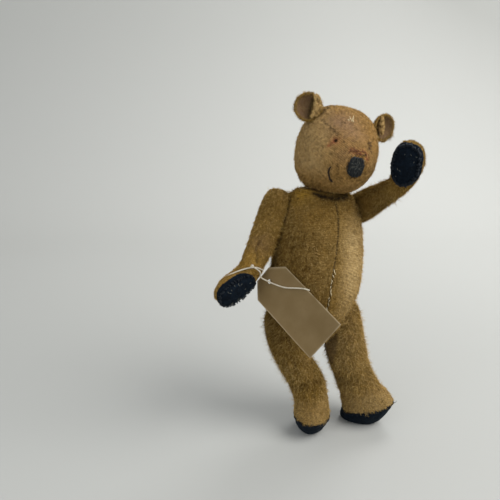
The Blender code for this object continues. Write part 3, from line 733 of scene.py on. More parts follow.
def tubesObject(name, target, material):
    verts, faces, plies = target
    mesh = newMesh(name, verts, faces)
    mesh.shade_smooth()
    setMark(mesh, "ply", plies)
    mesh.materials.append(material)
    return linkObject(name, mesh)


def enter(body, slot, *pieces, replaces=None):
    # attaches some pieces to a body, and hides the CAD node that they stand for, if one is given; the slot is
    # not used
    for piece in pieces:
        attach(piece, body)
    if replaces:
        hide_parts(replaces)


# geometry trees: the pile and the stitches


def grow(obj, tree, values, name):
    # what a tree makes from obj, as a plain mesh of its own
    modifier = obj.modifiers.new("grow", "NODES")
    modifier.node_group = tree
    for socket in tree.interface.items_tree:
        if socket.item_type == "SOCKET" and socket.in_out == "INPUT" and socket.name in values:
            modifier[socket.identifier] = values[socket.name]
    mesh = grown(obj, preserve_all_data_layers=True)
    obj.modifiers.remove(modifier)
    mesh.name = name
    return linkObject(name, mesh)


def namedField(tree, name, kind="FLOAT"):
    return addNode(tree, "GeometryNodeInputNamedAttribute", {"Name": name}, data_type=kind), "Attribute"


def randomNumber(tree, seed, low, high):
    return addNode(tree, "FunctionNodeRandomValue", {2: low, 3: high, "Seed": seed}, data_type="FLOAT"), 1


def randomArrow(tree, seed):
    sockets = {0: (-1, -1, -1), 1: (1, 1, 1), "Seed": seed}
    return addNode(tree, "FunctionNodeRandomValue", sockets, data_type="FLOAT_VECTOR"), 0


def turnedTo(tree, up, across):
    # the rotation that stands on one arrow and faces along another
    stood = addNode(tree, "FunctionNodeAlignRotationToVector", {"Vector": up}, axis="Z")
    sockets = {"Rotation": (stood, "Rotation"), "Vector": across}
    return addNode(tree, "FunctionNodeAlignRotationToVector", sockets, axis="X", pivot_axis="Z"), "Rotation"


def sized(tree, x, y, z):
    return addNode(tree, "ShaderNodeCombineXYZ", {"X": x, "Y": y, "Z": z}), "Vector"


def placeAll(tree, result, sockets, material):
    # the end of both trees: copies on points, made real, in one material
    placed = addNode(tree, "GeometryNodeInstanceOnPoints", sockets)
    real = addNode(tree, "GeometryNodeRealizeInstances", {"Geometry": (placed, "Instances")})
    dressed = addNode(tree, "GeometryNodeSetMaterial", {"Geometry": (real, "Geometry"), "Material": material})
    feed(tree, result, "Geometry", (dressed, "Geometry"))


def pileTree():
    # scatters small wisps over a skin, by its pile, reach and comb attributes
    tree, given, result = newTree("GeometryNodeTree", "pileTree", {
        "Geometry": "Geometry", "Wisps Per Square Metre": 3e5, "Length": 0.002, "Clump Width": 0.0012,
        "Lean": 0.5, "Scatter": 0.5, "Seed": 1, "Wisps": "Collection", "Fibre": "Material",
    }, "Geometry")
    tree.is_modifier = True
    seed, lean, width = (given, "Seed"), (given, "Lean"), (given, "Clump Width")
    density = mathNode(tree, "MULTIPLY", namedField(tree, "pile"), (given, "Wisps Per Square Metre"))
    sockets = {"Mesh": (given, "Geometry"), "Density": density, "Seed": seed}
    spread = addNode(tree, "GeometryNodeDistributePointsOnFaces", sockets, distribute_method="RANDOM")
    otherSeed = mathNode(tree, "ADD", seed, 11.0)
    sockets = {"Name": "hue", "Geometry": (spread, "Points"), "Value": randomNumber(tree, otherSeed, 0.0, 1.0)}
    marked = addNode(tree, "GeometryNodeStoreNamedAttribute", sockets, data_type="FLOAT", domain="POINT")
    standing = vectorMath(tree, "SCALE", (spread, "Normal"), scale=mathNode(tree, "SUBTRACT", 1.0, lean))
    leaning = vectorMath(tree, "SCALE", namedField(tree, "comb", "FLOAT_VECTOR"), scale=lean)
    strewn = vectorMath(tree, "SCALE", randomArrow(tree, seed), scale=(given, "Scatter"))
    direction = vectorMath(tree, "ADD", vectorMath(tree, "ADD", standing, leaning), strewn)
    tall = mathNode(tree, "MULTIPLY", (given, "Length"), randomNumber(tree, seed, 0.55, 1.25))
    tall = mathNode(tree, "MULTIPLY", tall, namedField(tree, "reach"))
    sockets = {"Collection": (given, "Wisps"), "Separate Children": True, "Reset Children": True}
    wispsGiven = addNode(tree, "GeometryNodeCollectionInfo", sockets)
    placeAll(tree, result, {
        "Points": (marked, "Geometry"), "Instance": (wispsGiven, 0), "Pick Instance": True,
        "Rotation": turnedTo(tree, direction, randomArrow(tree, otherSeed)),
        "Scale": sized(tree, width, width, tall),
    }, (given, "Fibre"))
    return tree


def stitchTree():
    # sets one stitch on each given point, along its across attribute and standing on its up attribute
    tree, given, result = newTree("GeometryNodeTree", "stitchTree", {
        "Geometry": "Geometry", "Width": 0.0005, "Vary": 0.3, "Seed": 1, "Stitch": "Object",
        "Thread": "Material",
    }, "Geometry")
    tree.is_modifier = True
    vary, width = (given, "Vary"), (given, "Width")
    low, high = mathNode(tree, "SUBTRACT", 1.0, vary), mathNode(tree, "ADD", 1.0, vary)
    jitter = randomNumber(tree, (given, "Seed"), low, high)
    length = mathNode(tree, "MULTIPLY", namedField(tree, "long"), jitter)
    across, up = namedField(tree, "across", "FLOAT_VECTOR"), namedField(tree, "up", "FLOAT_VECTOR")
    stitch = addNode(tree, "GeometryNodeObjectInfo", {"Object": (given, "Stitch"), "As Instance": True})
    placeAll(tree, result, {
        "Points": (given, "Geometry"), "Instance": (stitch, "Geometry"), "Rotation": turnedTo(tree, up, across),
        "Scale": sized(tree, length, width, width),
    }, (given, "Thread"))
    return tree


wispLook = {"kinds": 7, "hairs": 3, "root": 0.55, "bend": 0.9, "halfWidth": 0.075, "seed": 4}


def flatWay(turn):
    return Vector((math.cos(turn), math.sin(turn), 0))


def makeWisps():
    # small tufts of curved hairs, one unit tall, which the tree scales
    look = wispLook
    rng = random.Random(look["seed"])
    holder = bpy.data.collections.new("wisps")
    for number in range(look["kinds"]):
        verts, faces, along = [], [], []
        for _ in range(look["hairs"]):
            root = flatWay(rng.uniform(0, 2 * math.pi)) * rng.uniform(0, look["root"])
            bend = rng.uniform(0, 2 * math.pi)
            first = flatWay(bend) * rng.uniform(0.1, 0.5) * look["bend"]
            curl = bend + rng.uniform(-1.4, 1.4)
            second = first + flatWay(curl) * rng.uniform(0.3, 1.0) * look["bend"]
            side = Vector((-math.sin(curl), math.cos(curl), 0)) * look["halfWidth"] * rng.uniform(0.7, 1.3)
            height = rng.uniform(0.7, 1.15)
            foot, knee = Vector((0, 0, -0.12)), Vector((0, 0, 0.6 * height))
            start = len(verts)
            verts += [root - side + foot, root + side + foot]
            verts += [root + first - side * 0.8 + knee, root + first + side * 0.8 + knee]
            verts += [root + second + Vector((0, 0, height))]
            along += [0, 0, 0.6, 0.6, 1]
            faces += [(start, start + 1, start + 3, start + 2), (start + 2, start + 3, start + 4)]
        mesh = newMesh(f"wisp{number}", verts, faces)
        setMark(mesh, "along", along)
        mesh.shade_smooth()
        holder.objects.link(bpy.data.objects.new(f"wisp{number}", mesh))
    return holder


def makeStitch():
    # one arched stitch, a unit long and as wide as one unit of thread
    steps = sides = 6
    verts, faces, plies = [], [], []
    for step in range(steps + 1):
        place = Vector((-0.5 + step / steps, 0, 1.1 * math.sin(math.pi * step / steps) - 0.35))
        shrink = 0.55 if step in (0, steps) else 1
        for side in range(sides):
            turn = 2 * math.pi * side / sides
            verts.append(place + Vector((0, math.cos(turn) * 0.5 * shrink, math.sin(turn) * 0.5 * shrink)))
            plies.append(step * 1.6 + turn * 2)
    for low in range(0, steps * sides, sides):
        for side in range(sides):
            after = (side + 1) % sides
            faces.append((low + side, low + sides + side, low + sides + after, low + after))
    faces += [tuple(range(sides)), tuple(range(len(verts) - 1, len(verts) - 1 - sides, -1))]
    mesh = newMesh("stitch", verts, faces)
    faceOutwards(mesh)
    setMark(mesh, "ply", plies)
    mesh.shade_smooth()
    return bpy.data.objects.new("stitch", mesh)


pileGrower = pileTree()
stitchSetter = stitchTree()
wisps = makeWisps()
stitchShape = makeStitch()


def setStitches(name, stitches, width, thread, seed, vary):
    # each stitch is its place, the way it runs, the way it stands out, and its length
    places, acrosses, ups, longs = zip(*stitches)
    mesh = newMesh(name, places, [])
    setArrow(mesh, "across", acrosses)
    setArrow(mesh, "up", ups)
    setMark(mesh, "long", longs)
    holder = linkObject(name + "Points", mesh)
    values = {"Width": width * mm, "Vary": vary, "Seed": seed, "Stitch": stitchShape, "Thread": thread}
    made = grow(holder, stitchSetter, values, name)
    bpy.data.objects.remove(holder)
    return made


print("geometry trees are ready")

# the plush skins

armSkin = {"voxel": 1.0, "rounds": 14, "swell": 0.45, "tuft": 0.36, "lump": 0.45, "rows": 1.8}
legSkin = {"voxel": 1.1, "rounds": 12, "swell": 0.40, "tuft": 0.50, "lump": 0.50, "rows": 1.9}
skinLook = {  # voxel and swell in millimetres; rows is the pitch of the weave's rows
    "torso": {
        "node": "torso_cover", "joints": list(hinges), "voxel": 1.2, "rounds": 12, "swell": 0.30, "tuft": 0.42,
        "warm": 0.12, "lump": 0.55, "rows": 1.7,
    },
    "head": {
        "node": "head_cover", "joints": ["neck_turn"], "voxel": 1.0, "rounds": 16, "swell": 0.45, "tuft": 0.34,
        "warm": 0.12, "lump": 0.42, "rows": 1.9,
    },
    "arm_right": {**armSkin, "node": "arm_r_cover", "joints": ["shoulder_right_turn"], "warm": 0.16},
    "arm_left": {**armSkin, "node": "arm_l_cover", "joints": ["shoulder_left_turn"], "warm": 0.25},
    "leg_right": {
        **legSkin, "node": "leg_r_cover", "joints": ["hip_right_turn"], "warm": 0.08,
        "darkening": (0.66, 0.20), "paling": (0.22, 0),
    },
    "leg_left": {
        **legSkin, "node": "leg_l_cover", "joints": ["hip_left_turn"], "warm": 0.05,
        "darkening": (0.12, 0), "paling": (0.10, 0.14),
    },
}
seamLook = {"depth": 0.75, "width": 1.2, "lip": 0.22, "lipAt": 3.0, "lipWidth": 1.6}
jointLook = {"flat": 2.2, "flatEdge": 0.9, "flatRadius": 50, "sweep": 2.8, "sweepWidth": 2.4, "sweepRadius": 48}

frontSeam = inTorso(
    (-0.8, -17, 151), (-0.3, -27, 140), (1.0, -34, 124.5), (-1.0, -41.5, 99), (-4.0, -45.5, 77),
    (-5.3, -46, 58), (-5.5, -43.5, 32), (-6, -37, 14), (-6, -30, 2),
)
neckPlaces = [(-21, -17, 148), (-14, -22.5, 146.7), (-3, -25.5, 146), (8, -24.5, 146.3), (16, -18.5, 148)]
gussetRight = inHead(
    (-7, -52, 48), (-13, -45, 56), (-19.5, -37, 61.5), (-25, -28.7, 66.8), (-31.5, -14, 71.5), (-32, 2, 77),
    (-28, 22, 73), (-18, 36, 55), (-9, 42, 26),
)
gussetLeft = inHead(
    (5, -52, 49), (14, -45, 57), (19, -36, 65), (26, -24, 73), (30, -12, 77), (30, 2, 79),
    (26, 22, 75), (17, 36, 55), (8, 42, 26),
)
chinSeam = inHead((-4, -57, 28), (-6, -55, 21), (-8.5, -51, 15), (-5, -42, 7), (-2, -30, 1))
browLine = inHead((-31.5, -14, 71.5), (-27.7, -24.6, 68.2), (-24.9, -28.7, 66.8), (-19.5, -37.2, 61.5))
bridgeLine = inHead((-7.7, -50.6, 52), (-1.5, -52.6, 51), (6.2, -51.4, 52), (9.5, -52.5, 46))
stainLine = inHead((-22.2, -38.2, 56), (-24.5, -38.3, 53.3), (-27, -37, 49.5))
tearLine = [
    (-0.0540, 0.0075, 0.2310), (-0.0546, 0.0068, 0.2273), (-0.0584, 0.0051, 0.2182), (-0.0570, 0.0030, 0.2110),
    (-0.0582, 0.0019, 0.2057),
]
limbSeams = {  # where a limb's middle line starts and ends, and the direction that the seam is across
    "arm_right": ((-31.5, 23.8, 255.3), (-82.5, 6.2, 179.8), (0.84, -0.14, -0.52)),
    "arm_left": ((67.3, 25.3, 249.2), (79.9, -43.4, 307.6), (-0.93, -0.33, -0.17)),
    "leg_right": ((-20.8, 19.9, 126.6), (6.2, -0.1, 18.6), (0.95, -0.30, 0.10)),
    "leg_left": ((50.7, 18.9, 124.6), (74.7, -6.1, 21.6), (0.80, 0.58, 0.10)),
}


def seamGroove(distance):
    look = seamLook
    groove = -look["depth"] * bell(distance, look["width"])
    return groove + look["lip"] * bell(distance - look["lipAt"], look["lipWidth"])


def limbLine(name):
    # where a limb starts, which way it runs and how long it is, in millimetres
    start, end = (np.array(place) for place in limbSeams[name][:2])
    length = np.linalg.norm(end - start)
    return start, (end - start) / length, length


def limbSeamDistance(points, name):
    start, down, _ = limbLine(name)
    across = np.array(limbSeams[name][2])
    across = across - down * (across @ down)
    across /= np.linalg.norm(across)
    return np.abs((points / mm - start) @ across)


def besideJoints(points, joints):
    # 1 where a skin lies against its neighbour's flat at a disc joint,
    # and the way that the pile about it is combed, across the joint's gap
    look = jointLook
    flat, sweep = np.zeros(len(points)), np.zeros((len(points), 3))
    for joint in joints:
        axis = np.array(Vector(hinges[joint]["axis"]).normalized())
        offset = points / mm - np.array(hinges[joint]["pos_m"]) / mm
        height = offset @ axis
        away = norms(offset - height[:, None] * axis)
        inGap = unit((look["flat"] - np.abs(height)) / look["flatEdge"])
        flat = np.maximum(flat, inGap * (away < look["flatRadius"]))
        near = bell(np.abs(height) - look["sweep"], look["sweepWidth"]) * (away < look["sweepRadius"])
        sweep -= (near * np.sign(height))[:, None] * axis
    return flat, sweep


def weaveRows(along, body):
    return 2 * math.pi * along / skinLook[body]["rows"]


def paintTorso(points, lift, marks):
    x, y, z = toFrame(torsoFrame, points).T
    front = y < 0
    seam = lineDistance(points, frontSeam)
    lift += np.where(front, 1.3 * seamGroove(seam), 0)
    back = (~front) & (z > -10) & (z < 146)
    lift += np.where(back, seamGroove(np.abs(x + 1.5 * np.sin(z / 22))), 0)
    ribs = np.exp(-(((x - 17) / 13) ** 4) - (((z - 52) / 26) ** 4)) * front
    along = z * 0.88 + x * 0.47 + 1.2 * cloud(points, 16, 31)
    lift += ribs * 0.50 * np.sin(2 * math.pi * along / 3.3)
    creases = bell(z - 3, 9) * front
    lift += creases * 0.5 * np.sin(2 * math.pi * (z + 0.25 * np.abs(x)) / 7.5)
    marks["gold"] += 1.2 * spot(points, laid(points, inTorso((-30, -8, 146)))[0], 12)
    # painted shadow of the chin: a dark line along the neck seam
    collar = lineDistance(points, laid(points, inTorso(*neckPlaces)))
    marks["pitch"] += 1.6 * bell(collar, 2.8) * unit(0.75 + 0.5 * cloud(points, 5, 33))
    # painted shade: darker at the top front under the head, and on the -x side away from the key lamp, under
    # the right arm and over that half of the belly
    marks["grime"] += 0.25 * unit((z - 118) / 30) * front + 0.35 * unit(-(x + 18) / 20)
    marks["grime"] += 0.36 * unit((5 - x) / 14) * unit((136 - z) / 30) * front
    # painted light: paler on the belly's +x side towards the key lamp, less so lower down
    marks["bleach"] += 0.62 * unit((x - 1) / 16) * unit((135 - z) / 30) * np.clip(z / 55, 0.15, 1) * front
    marks["pitch"] += 0.85 * bell(seam, 0.8) * front
    marks["reach"] *= 0.72 + 0.5 * unit((np.abs(x) - 24) / 20) + 0.3 * (~front)
    marks["pile"] *= 0.80 + 0.2 * unit((np.abs(x) - 18) / 20)
    marks["pile"] *= 1 - 0.8 * bell(seam, 1.3) * front
    marks["pile"] *= 1 - 0.45 * ribs
    marks["rows"] = weaveRows(z + 0.8 * cloud(points, 25, 5), "torso")


def paintHead(points, lift, marks):
    x, y, z = toFrame(headFrame, points).T
    behindBrow = np.clip((y + 42) / 12, 0.08, 1) * np.where(x > 0, 0.35, 1)
    for seam in (gussetRight, gussetLeft):
        lift += 0.28 * behindBrow * seamGroove(lineDistance(points, seam))
    lift += np.where(y < 0, 0.8 * seamGroove(lineDistance(points, chinSeam)), 0)
    eyeHole, farEye = laid(points, inHead((-22.2, -38.2, 57), (13, -43.5, 58)))
    lift -= 1.4 * spot(points, eyeHole, 1.8) + 0.6 * spot(points, eyeHole, 6) + 0.8 * spot(points, farEye, 5)
    lift += 0.36 * cloud(points, 6.5, 21) + 0.3 * cloud(points, 1.9, 22)  # matted knots
    lift -= 1.3 * unit((x - 8) / 14) * unit((24 - z) / 14) * (y < 8)
    # crinkles between the matted locks, sunk in and darkened with painted shade
    crinkles = sum(unit(1 - np.abs(cloud(points, size, size * 10)) / 0.15) for size in (4, 2))
    crinkles *= unit(0.65 + 0.8 * cloud(points, 12, 38))
    lift -= 0.45 * crinkles
    marks["pitch"] += 0.62 * crinkles
    marks["pile"] *= 1 - 0.55 * unit(crinkles)
    marks["rust"] += 0.7 * spot(points, eyeHole, 4.5)
    # painted shade inside the lost eye's hole
    marks["pitch"] += 1.8 * spot(points, eyeHole, 1.9)
    marks["pile"] *= 1 - spot(points, eyeHole, 1.8)
    for mark, line, share, width, low, rise, size, seed in (
        ("rust", stainLine, 1.3, 2.0, 0.7, 0.6, 2.5, 34),
        ("rust", bridgeLine, 1.35, 3.2, 0.4, 1.1, 2.2, 35),
        ("grime", browLine, 0.35, 0.8, 0.4, 1, 1.8, 36),
    ):
        uneven = unit(low + rise * cloud(points, size, seed))
        marks[mark] += share * bell(lineDistance(points, laid(points, line)), width) * uneven
    for mark, share, place, radius in (
        ("ash", 0.75, (-17, -25, 75), 14), ("ash", 0.55, (-3, -36, 66), 14), ("ash", 0.35, (-13, -49, 46), 10),
        ("grime", 0.28, (-8, -54, 34), 18), ("grime", 0.14, (-8, -40, 64), 24), ("grime", 0.3, (8, -50, 30), 9),
    ):
        marks[mark] += share * spot(points, inHead(place)[0], radius)
    marks["bleach"] += 0.45 * unit((-18 - x) / 14) * unit((z - 10) / 14)
    marks["grime"] += 0.7 * unit((14 - z) / 14) + 0.5 * spot(points, farEye, 6)
    face = unit((-y - 22) / 22)
    marks["pile"] *= 1 - 0.35 * face
    marks["reach"] *= 1 - 0.45 * face + 0.45 * unit((np.abs(x) - 32) / 10)
    marks["rows"] = weaveRows(z + 0.5 * x + 1.2 * cloud(points, 20, 6), "head")


def paintLimb(name, points, lift, marks):
    start, down, length = limbLine(name)
    along = (points / mm - start) @ down
    share = along / length
    seam = limbSeamDistance(points, name)
    lift += 0.85 * seamGroove(seam)
    marks["rows"] = weaveRows(along + 0.9 * cloud(points, 22, 7), name)
    marks["pile"] *= 1 - 0.6 * bell(seam, 1.0)
    marks["pitch"] += 0.35 * bell(seam, 0.9) * unit(0.5 + cloud(points, 9, 37))
    if name.startswith("leg"):
        wear = unit((share - 0.72) / 0.16)  # the ankles and feet are barer
        (thighDarkening, darkening), (anklePaling, paling) = skinLook[name]["darkening"], skinLook[name]["paling"]
        marks["reach"] *= 1.35 - 0.75 * wear
        # darker towards the top of the thigh and paler at the ankle, each also evenly by its second amount
        marks["grime"] += thighDarkening * unit(1.15 - share / 0.5) + darkening
        marks["pile"] *= 1.0 - 0.15 * wear
        marks["bleach"] += anklePaling * wear + paling
        marks["grime"] += 0.45 * bell(share - 0.62, 0.07)
        lift += 0.45 * bell(share - 0.74, 0.03) - 0.7 * bell(share - 0.80, 0.035)
    else:
        marks["reach"] *= 1.05 - 0.4 * unit((share - 0.55) / 0.3)
        pad = surfaceTree(cadNodes["paw_pad_r" if name == "arm_right" else "paw_pad_l"])
        covered = np.array([pad.find_nearest(Vector(point))[3] for point in points]) / mm
        marks["pile"] *= unit(covered / 1.5 - 0.4)
    if name == "arm_right":
        for mark, amount, place, radius in (
            ("grime", 0.55, (-0.039, 0.013, 0.261), 14), ("grime", 0.45, (-0.048, 0.005, 0.228), 12),
            ("ash", 0.35, (-0.053, 0.006, 0.222), 12), ("gold", 0.35, (-0.063, 0.0066, 0.2150), 9),
            ("gold", 0.25, (-0.061, 0.0030, 0.2040), 9),
        ):
            marks[mark] += amount * spot(points, np.array(place), radius)
        tear = lineDistance(points, laid(points, tearLine))
        lift -= 0.9 * bell(tear, 1.1)
        marks["grime"] += 0.8 * bell(tear, 1.2)
    if name == "arm_left":
        # painted shade: the whole arm darker, most near the shoulder where it lies behind the torso's edge
        marks["grime"] += 0.36 + 0.35 * spot(points, np.array((0.0732, -0.0100, 0.2540)), 22)


def alongSkin(arrows, normals):
    # arrows laid down on a skin, one unit long
    arrows = arrows - normals * np.sum(arrows * normals, axis=1)[:, None]
    return arrows / np.maximum(norms(arrows), 1e-6)[:, None]


def makeSkin(body, seed):
    look = skinLook[body]
    wall = outerWall(look["node"], look["joints"])
    skin = rounded(body.replace("_", "") + "Skin", wall, look["voxel"], look["rounds"], look["swell"])
    mesh = skin.data
    points, normals = readPoints(mesh)
    flat, sweep = besideJoints(points, look["joints"])
    tufts = cloud(points, 2.7, seed + 70)
    lift = look["lump"] * cloud(points, 15, seed) + 0.45 * look["lump"] * cloud(points, 5, seed + 10)
    lift = lift + look["tuft"] * tufts
    marks = {name: np.zeros(len(points)) for name in markTints}
    marks["pile"] = np.clip(0.85 + 0.35 * cloud(points, 18, seed + 20, 3) + 0.55 * tufts, 0.12, 1.2)
    marks["reach"] = np.clip(1 + 0.22 * cloud(points, 9, seed + 30) + 0.9 * tufts, 0.35, 2)
    marks["gold"] += look["warm"]
    # painted shade in the dips between tufts, and random dirty patches
    marks["grime"] += 0.55 * unit(-1.6 * tufts - 0.15) + 0.25 * unit(-1.2 * cloud(points, 7, seed + 80) - 0.1)
    if body == "torso":
        paintTorso(points, lift, marks)
    elif body == "head":
        paintHead(points, lift, marks)
    else:
        paintLimb(body, points, lift, marks)
    beside = norms(sweep) * (1 - flat)
    pressed = -0.05 * flat - look["swell"] * flat + lift * (1 - flat)
    lift = np.where(flat > 0, pressed, lift + 0.3 * beside)
    marks["reach"] *= 1 + 0.5 * beside
    marks["pile"] *= 1 - unit(flat * 2)
    writePoints(mesh, points + normals * lift[:, None] * mm)
    for name, values in marks.items():
        setMark(mesh, name, values if name == "rows" else np.clip(values, 0, 1.8))
    broad, fine = ([cloud(points, size, seed + number) for number in numbers] for size, numbers in (
        (24, (40, 50, 60)), (3.4, (41, 51, 61)),
    ))
    swirl = np.stack([broad[0], broad[1], -1.3 + broad[2]], axis=1)
    swirl += 0.8 * np.stack(fine, axis=1)
    swirl += 2.4 * sweep
    setArrow(mesh, "comb", alongSkin(swirl, normals))
    dress(skin, clothGrounds["head" if body == "head" else "body"])
    print(f"{skin.name}: {len(mesh.polygons)} faces")
    return skin


skins = {body: makeSkin(body, number + 1) for number, body in enumerate(skinLook)}

growLook = {  # wisps for each square metre, length and clump width in millimetres, lean, scatter
    "torso": {"pile": (8.2e5, 2.3, 0.9, 0.72, 0.28), "hairs": (1.6e5, 3.4, 0.8, 0.30, 0.75)},
    "head": {"pile": (10.0e5, 1.6, 0.75, 0.68, 0.35), "hairs": (1.0e5, 2.6, 0.7, 0.40, 0.80)},
    "arm_right": {"pile": (17e5, 2.1, 0.9, 0.70, 0.30), "hairs": (2.0e5, 3.0, 0.8, 0.40, 0.80)},
    "arm_left": {"pile": (17e5, 2.3, 0.9, 0.65, 0.35), "hairs": (2.6e5, 4.0, 0.8, 0.35, 0.80)},
    "leg_right": {"pile": (13.5e5, 2.9, 1.0, 0.66, 0.32), "hairs": (3.0e5, 4.6, 0.9, 0.35, 0.75)},
    "leg_left": {"pile": (13.5e5, 2.9, 1.0, 0.66, 0.32), "hairs": (3.0e5, 4.6, 0.9, 0.35, 0.75)},
}


def growPile(skin, look, seed, kind, ending="Pile"):
    density, length, clump, lean, scatter = look
    values = {
        "Wisps Per Square Metre": density * 1, "Length": length * mm,
        "Clump Width": clump * mm, "Lean": lean, "Scatter": scatter, "Seed": seed, "Wisps": wisps,
        "Fibre": mohairPiles[kind],
    }
    pile = grow(skin, pileGrower, values, skin.name.replace("Skin", ending))
    print(f"{pile.name}: {sum(len(face.vertices) - 2 for face in pile.data.polygons)} triangles")
    return pile


for number, (body, look) in enumerate(growLook.items()):
    skin = skins[body]
    pile = growPile(skin, look["pile"], number + 3, "head" if body == "head" else "body")
    hairs = growPile(skin, look["hairs"], number + 23, "hairs", "Hairs")
    enter(body, "worn_mohair", skin, pile, hairs, replaces=skinLook[body]["node"])
print("the skins and their pile are done")

# what the later pieces share

skinTrees = {body: surfaceTree(skin) for body, skin in skins.items()}
strayLook = {"steps": 8, "taper": 0.06, "sides": 5, "plyRate": 2.0}


def onSkin(body, place):
    # the nearest place on a body's skin and the way out of it
    there, normal, _, _ = skinTrees[body].find_nearest(Vector(place))
    return there, normal


def coat(obj, normals, marks, combed, material):
    # writes the marks that the plush materials and the pile read
    for name in list(markTints) + ["rows"]:
        setMark(obj.data, name, marks.get(name, np.zeros(len(normals))))
    for name in ("pile", "reach"):
        setMark(obj.data, name, np.clip(marks[name], 0, 2))
    setArrow(obj.data, "comb", alongSkin(combed, normals))
    dress(obj, material)


def stitchLine(name, body, slot, places, count, look, thread, seed):
    # stitches along a line on a skin: lean is their turn away from the line's own direction, in degrees
    rng = random.Random(seed)
    line = evenLine(smoothLine(places, 40), 0.25 * mm)
    stitches = []
    for number in range(count):
        at = int((len(line) - 2) * (number + 0.5 + rng.uniform(-0.25, 0.25)) / count)
        place, up = onSkin(body, line[at])
        along = (line[at + 1] - line[at]).normalized()
        crossed = -1 if look.get("cross") and number % 2 == 0 else 1
        lean = math.radians(look["lean"] * crossed + rng.uniform(-1, 1) * look["stray"])
        side = up.cross(along).normalized()
        stitches.append((
            place + up * look["rise"] * mm + side * rng.uniform(-1, 1) * look["aside"] * mm,
            along * math.cos(lean) + side * math.sin(lean), up, look["length"] * mm,
        ))
    made = setStitches(name, stitches, look["width"], thread, seed, look["vary"])
    enter(body, slot, made)


def anyWay(rng):
    return Vector((rng.uniform(-1, 1), rng.uniform(-1, 1), rng.uniform(-1, 1)))


def strayThread(target, place, direction, length, curl, radius, rng):
    # a loose end that wanders off from its start
    look = strayLook
    line, way = [Vector(place)], Vector(direction).normalized()
    for _ in range(look["steps"]):
        way = (way + anyWay(rng) * curl).normalized()
        line.append(line[-1] + way * length * mm / look["steps"])
    radii = [radius * mm * (1 - look["taper"] * step) for step in range(look["steps"] + 1)]
    tubeMesh(target, line, radii, look["sides"], False, look["plyRate"])


# ears

earLook = {  # millimetres: deeper presses the hollow in, opensAt is where its fold ends across the head
    "ear_r": {"name": "earRight", "deeper": 2.6, "opensAt": -40, "seed": 71},
    "ear_l": {"name": "earLeft", "deeper": 2.8, "opensAt": 40, "seed": 72},
}
earShape = {"voxel": 0.65, "rounds": 9, "swell": 0.35}
earPile = (17e5, 1.7, 0.85, 0.45, 0.6)
headMiddle = inHead((0, 0, 42))[0]


def makeEar(node):
    look = earLook[node]
    seed, opensAt = look["seed"], look["opensAt"]
    ear = rounded(look["name"] + "Skin", nodeCopy(node), **earShape)
    points, normals = readPoints(ear.data)
    middle = points.mean(axis=0)
    offset = points - middle
    axes = np.linalg.svd(offset, full_matrices=False)[2]
    facing = -axes[2] * np.sign(axes[2][1])  # the way that the hollow looks
    inPlane = offset - (offset @ facing)[:, None] * facing
    away = norms(inPlane) / mm
    front = unit((normals @ facing) * 2.2 - 0.3)
    aside = toFrame(headFrame, points)[:, 0]
    opened = unit((opensAt - aside) / (3 if opensAt < 0 else -3))  # the part that the fold leaves open
    withinRim = unit((12.6 - away) / 2.6)
    inside = front * withinRim
    behind = unit(-(normals @ facing) * 2) * withinRim
    deeper = look["deeper"] * unit(1 - (away / 13) ** 2) * (inside + 0.8 * behind)
    rim = bell(away - 14, 1.8)
    lift = 0.35 * cloud(points, 5, seed) + 0.25 * cloud(points, 2.2, seed + 1) * (1 - behind)
    lift = lift + 0.35 * rim * cloud(points, 4, seed + 2)
    writePoints(ear.data, points - facing * deeper[:, None] * mm + normals * lift[:, None] * mm)
    points, normals = readPoints(ear.data)
    patchy = cloud(points, 6, seed + 3)
    hollow = inside * opened
    marks = {
        # painted shade: the ear's hollow and the line where its fold ends darken, over the bare backing's own
        # grey (ash)
        "pitch": 0.9 * bell(aside - opensAt, 1.6) * inside + hollow * (0.24 + 0.3 * bell(aside - opensAt, 5)),
        "grime": np.clip(hollow * (0.62 + 0.5 * patchy), 0, 1.2) + 0.3 * rim * unit(0.5 + patchy),
        "ash": 0.80 * hollow, "gold": 0.5 * rim * unit(patchy + 0.4),
        "pile": np.clip(1 - 0.93 * inside, 0.05, 1), "reach": 0.75 + 0.35 * rim + 0.3 * (1 - front),
        "rows": 2 * math.pi * (offset @ axes[1]) / mm / 1.1 + 2 * cloud(points, 4, seed + 4),
    }
    coat(ear, normals, marks, inPlane + (middle - headMiddle) * 0.1, clothGrounds["body"])
    enter("head", "worn_mohair", ear, growPile(ear, earPile, seed, "body"), replaces=node)


for node in earLook:
    makeEar(node)

rollLook = {  # the frayed fold in front of each ear: places in the head's frame, and its radius
    "nearEarRoll": {
        "from": [(-40.5, -3, 90.5), (-37.5, -4.6, 87), (-35.8, -5.6, 81), (-36.4, -6.2, 75), (-39, -5.6, 70)],
        "radius": 3.5, "seed": 73,
    },
    "farEarRoll": {
        "from": [(36, -3.2, 87), (38, -2.8, 81), (40, -2.2, 75), (42.5, -2, 69)], "radius": 2.4, "seed": 74,
    },
}
rollShape = {"voxel": 0.45, "rounds": 3, "swell": 0.1}


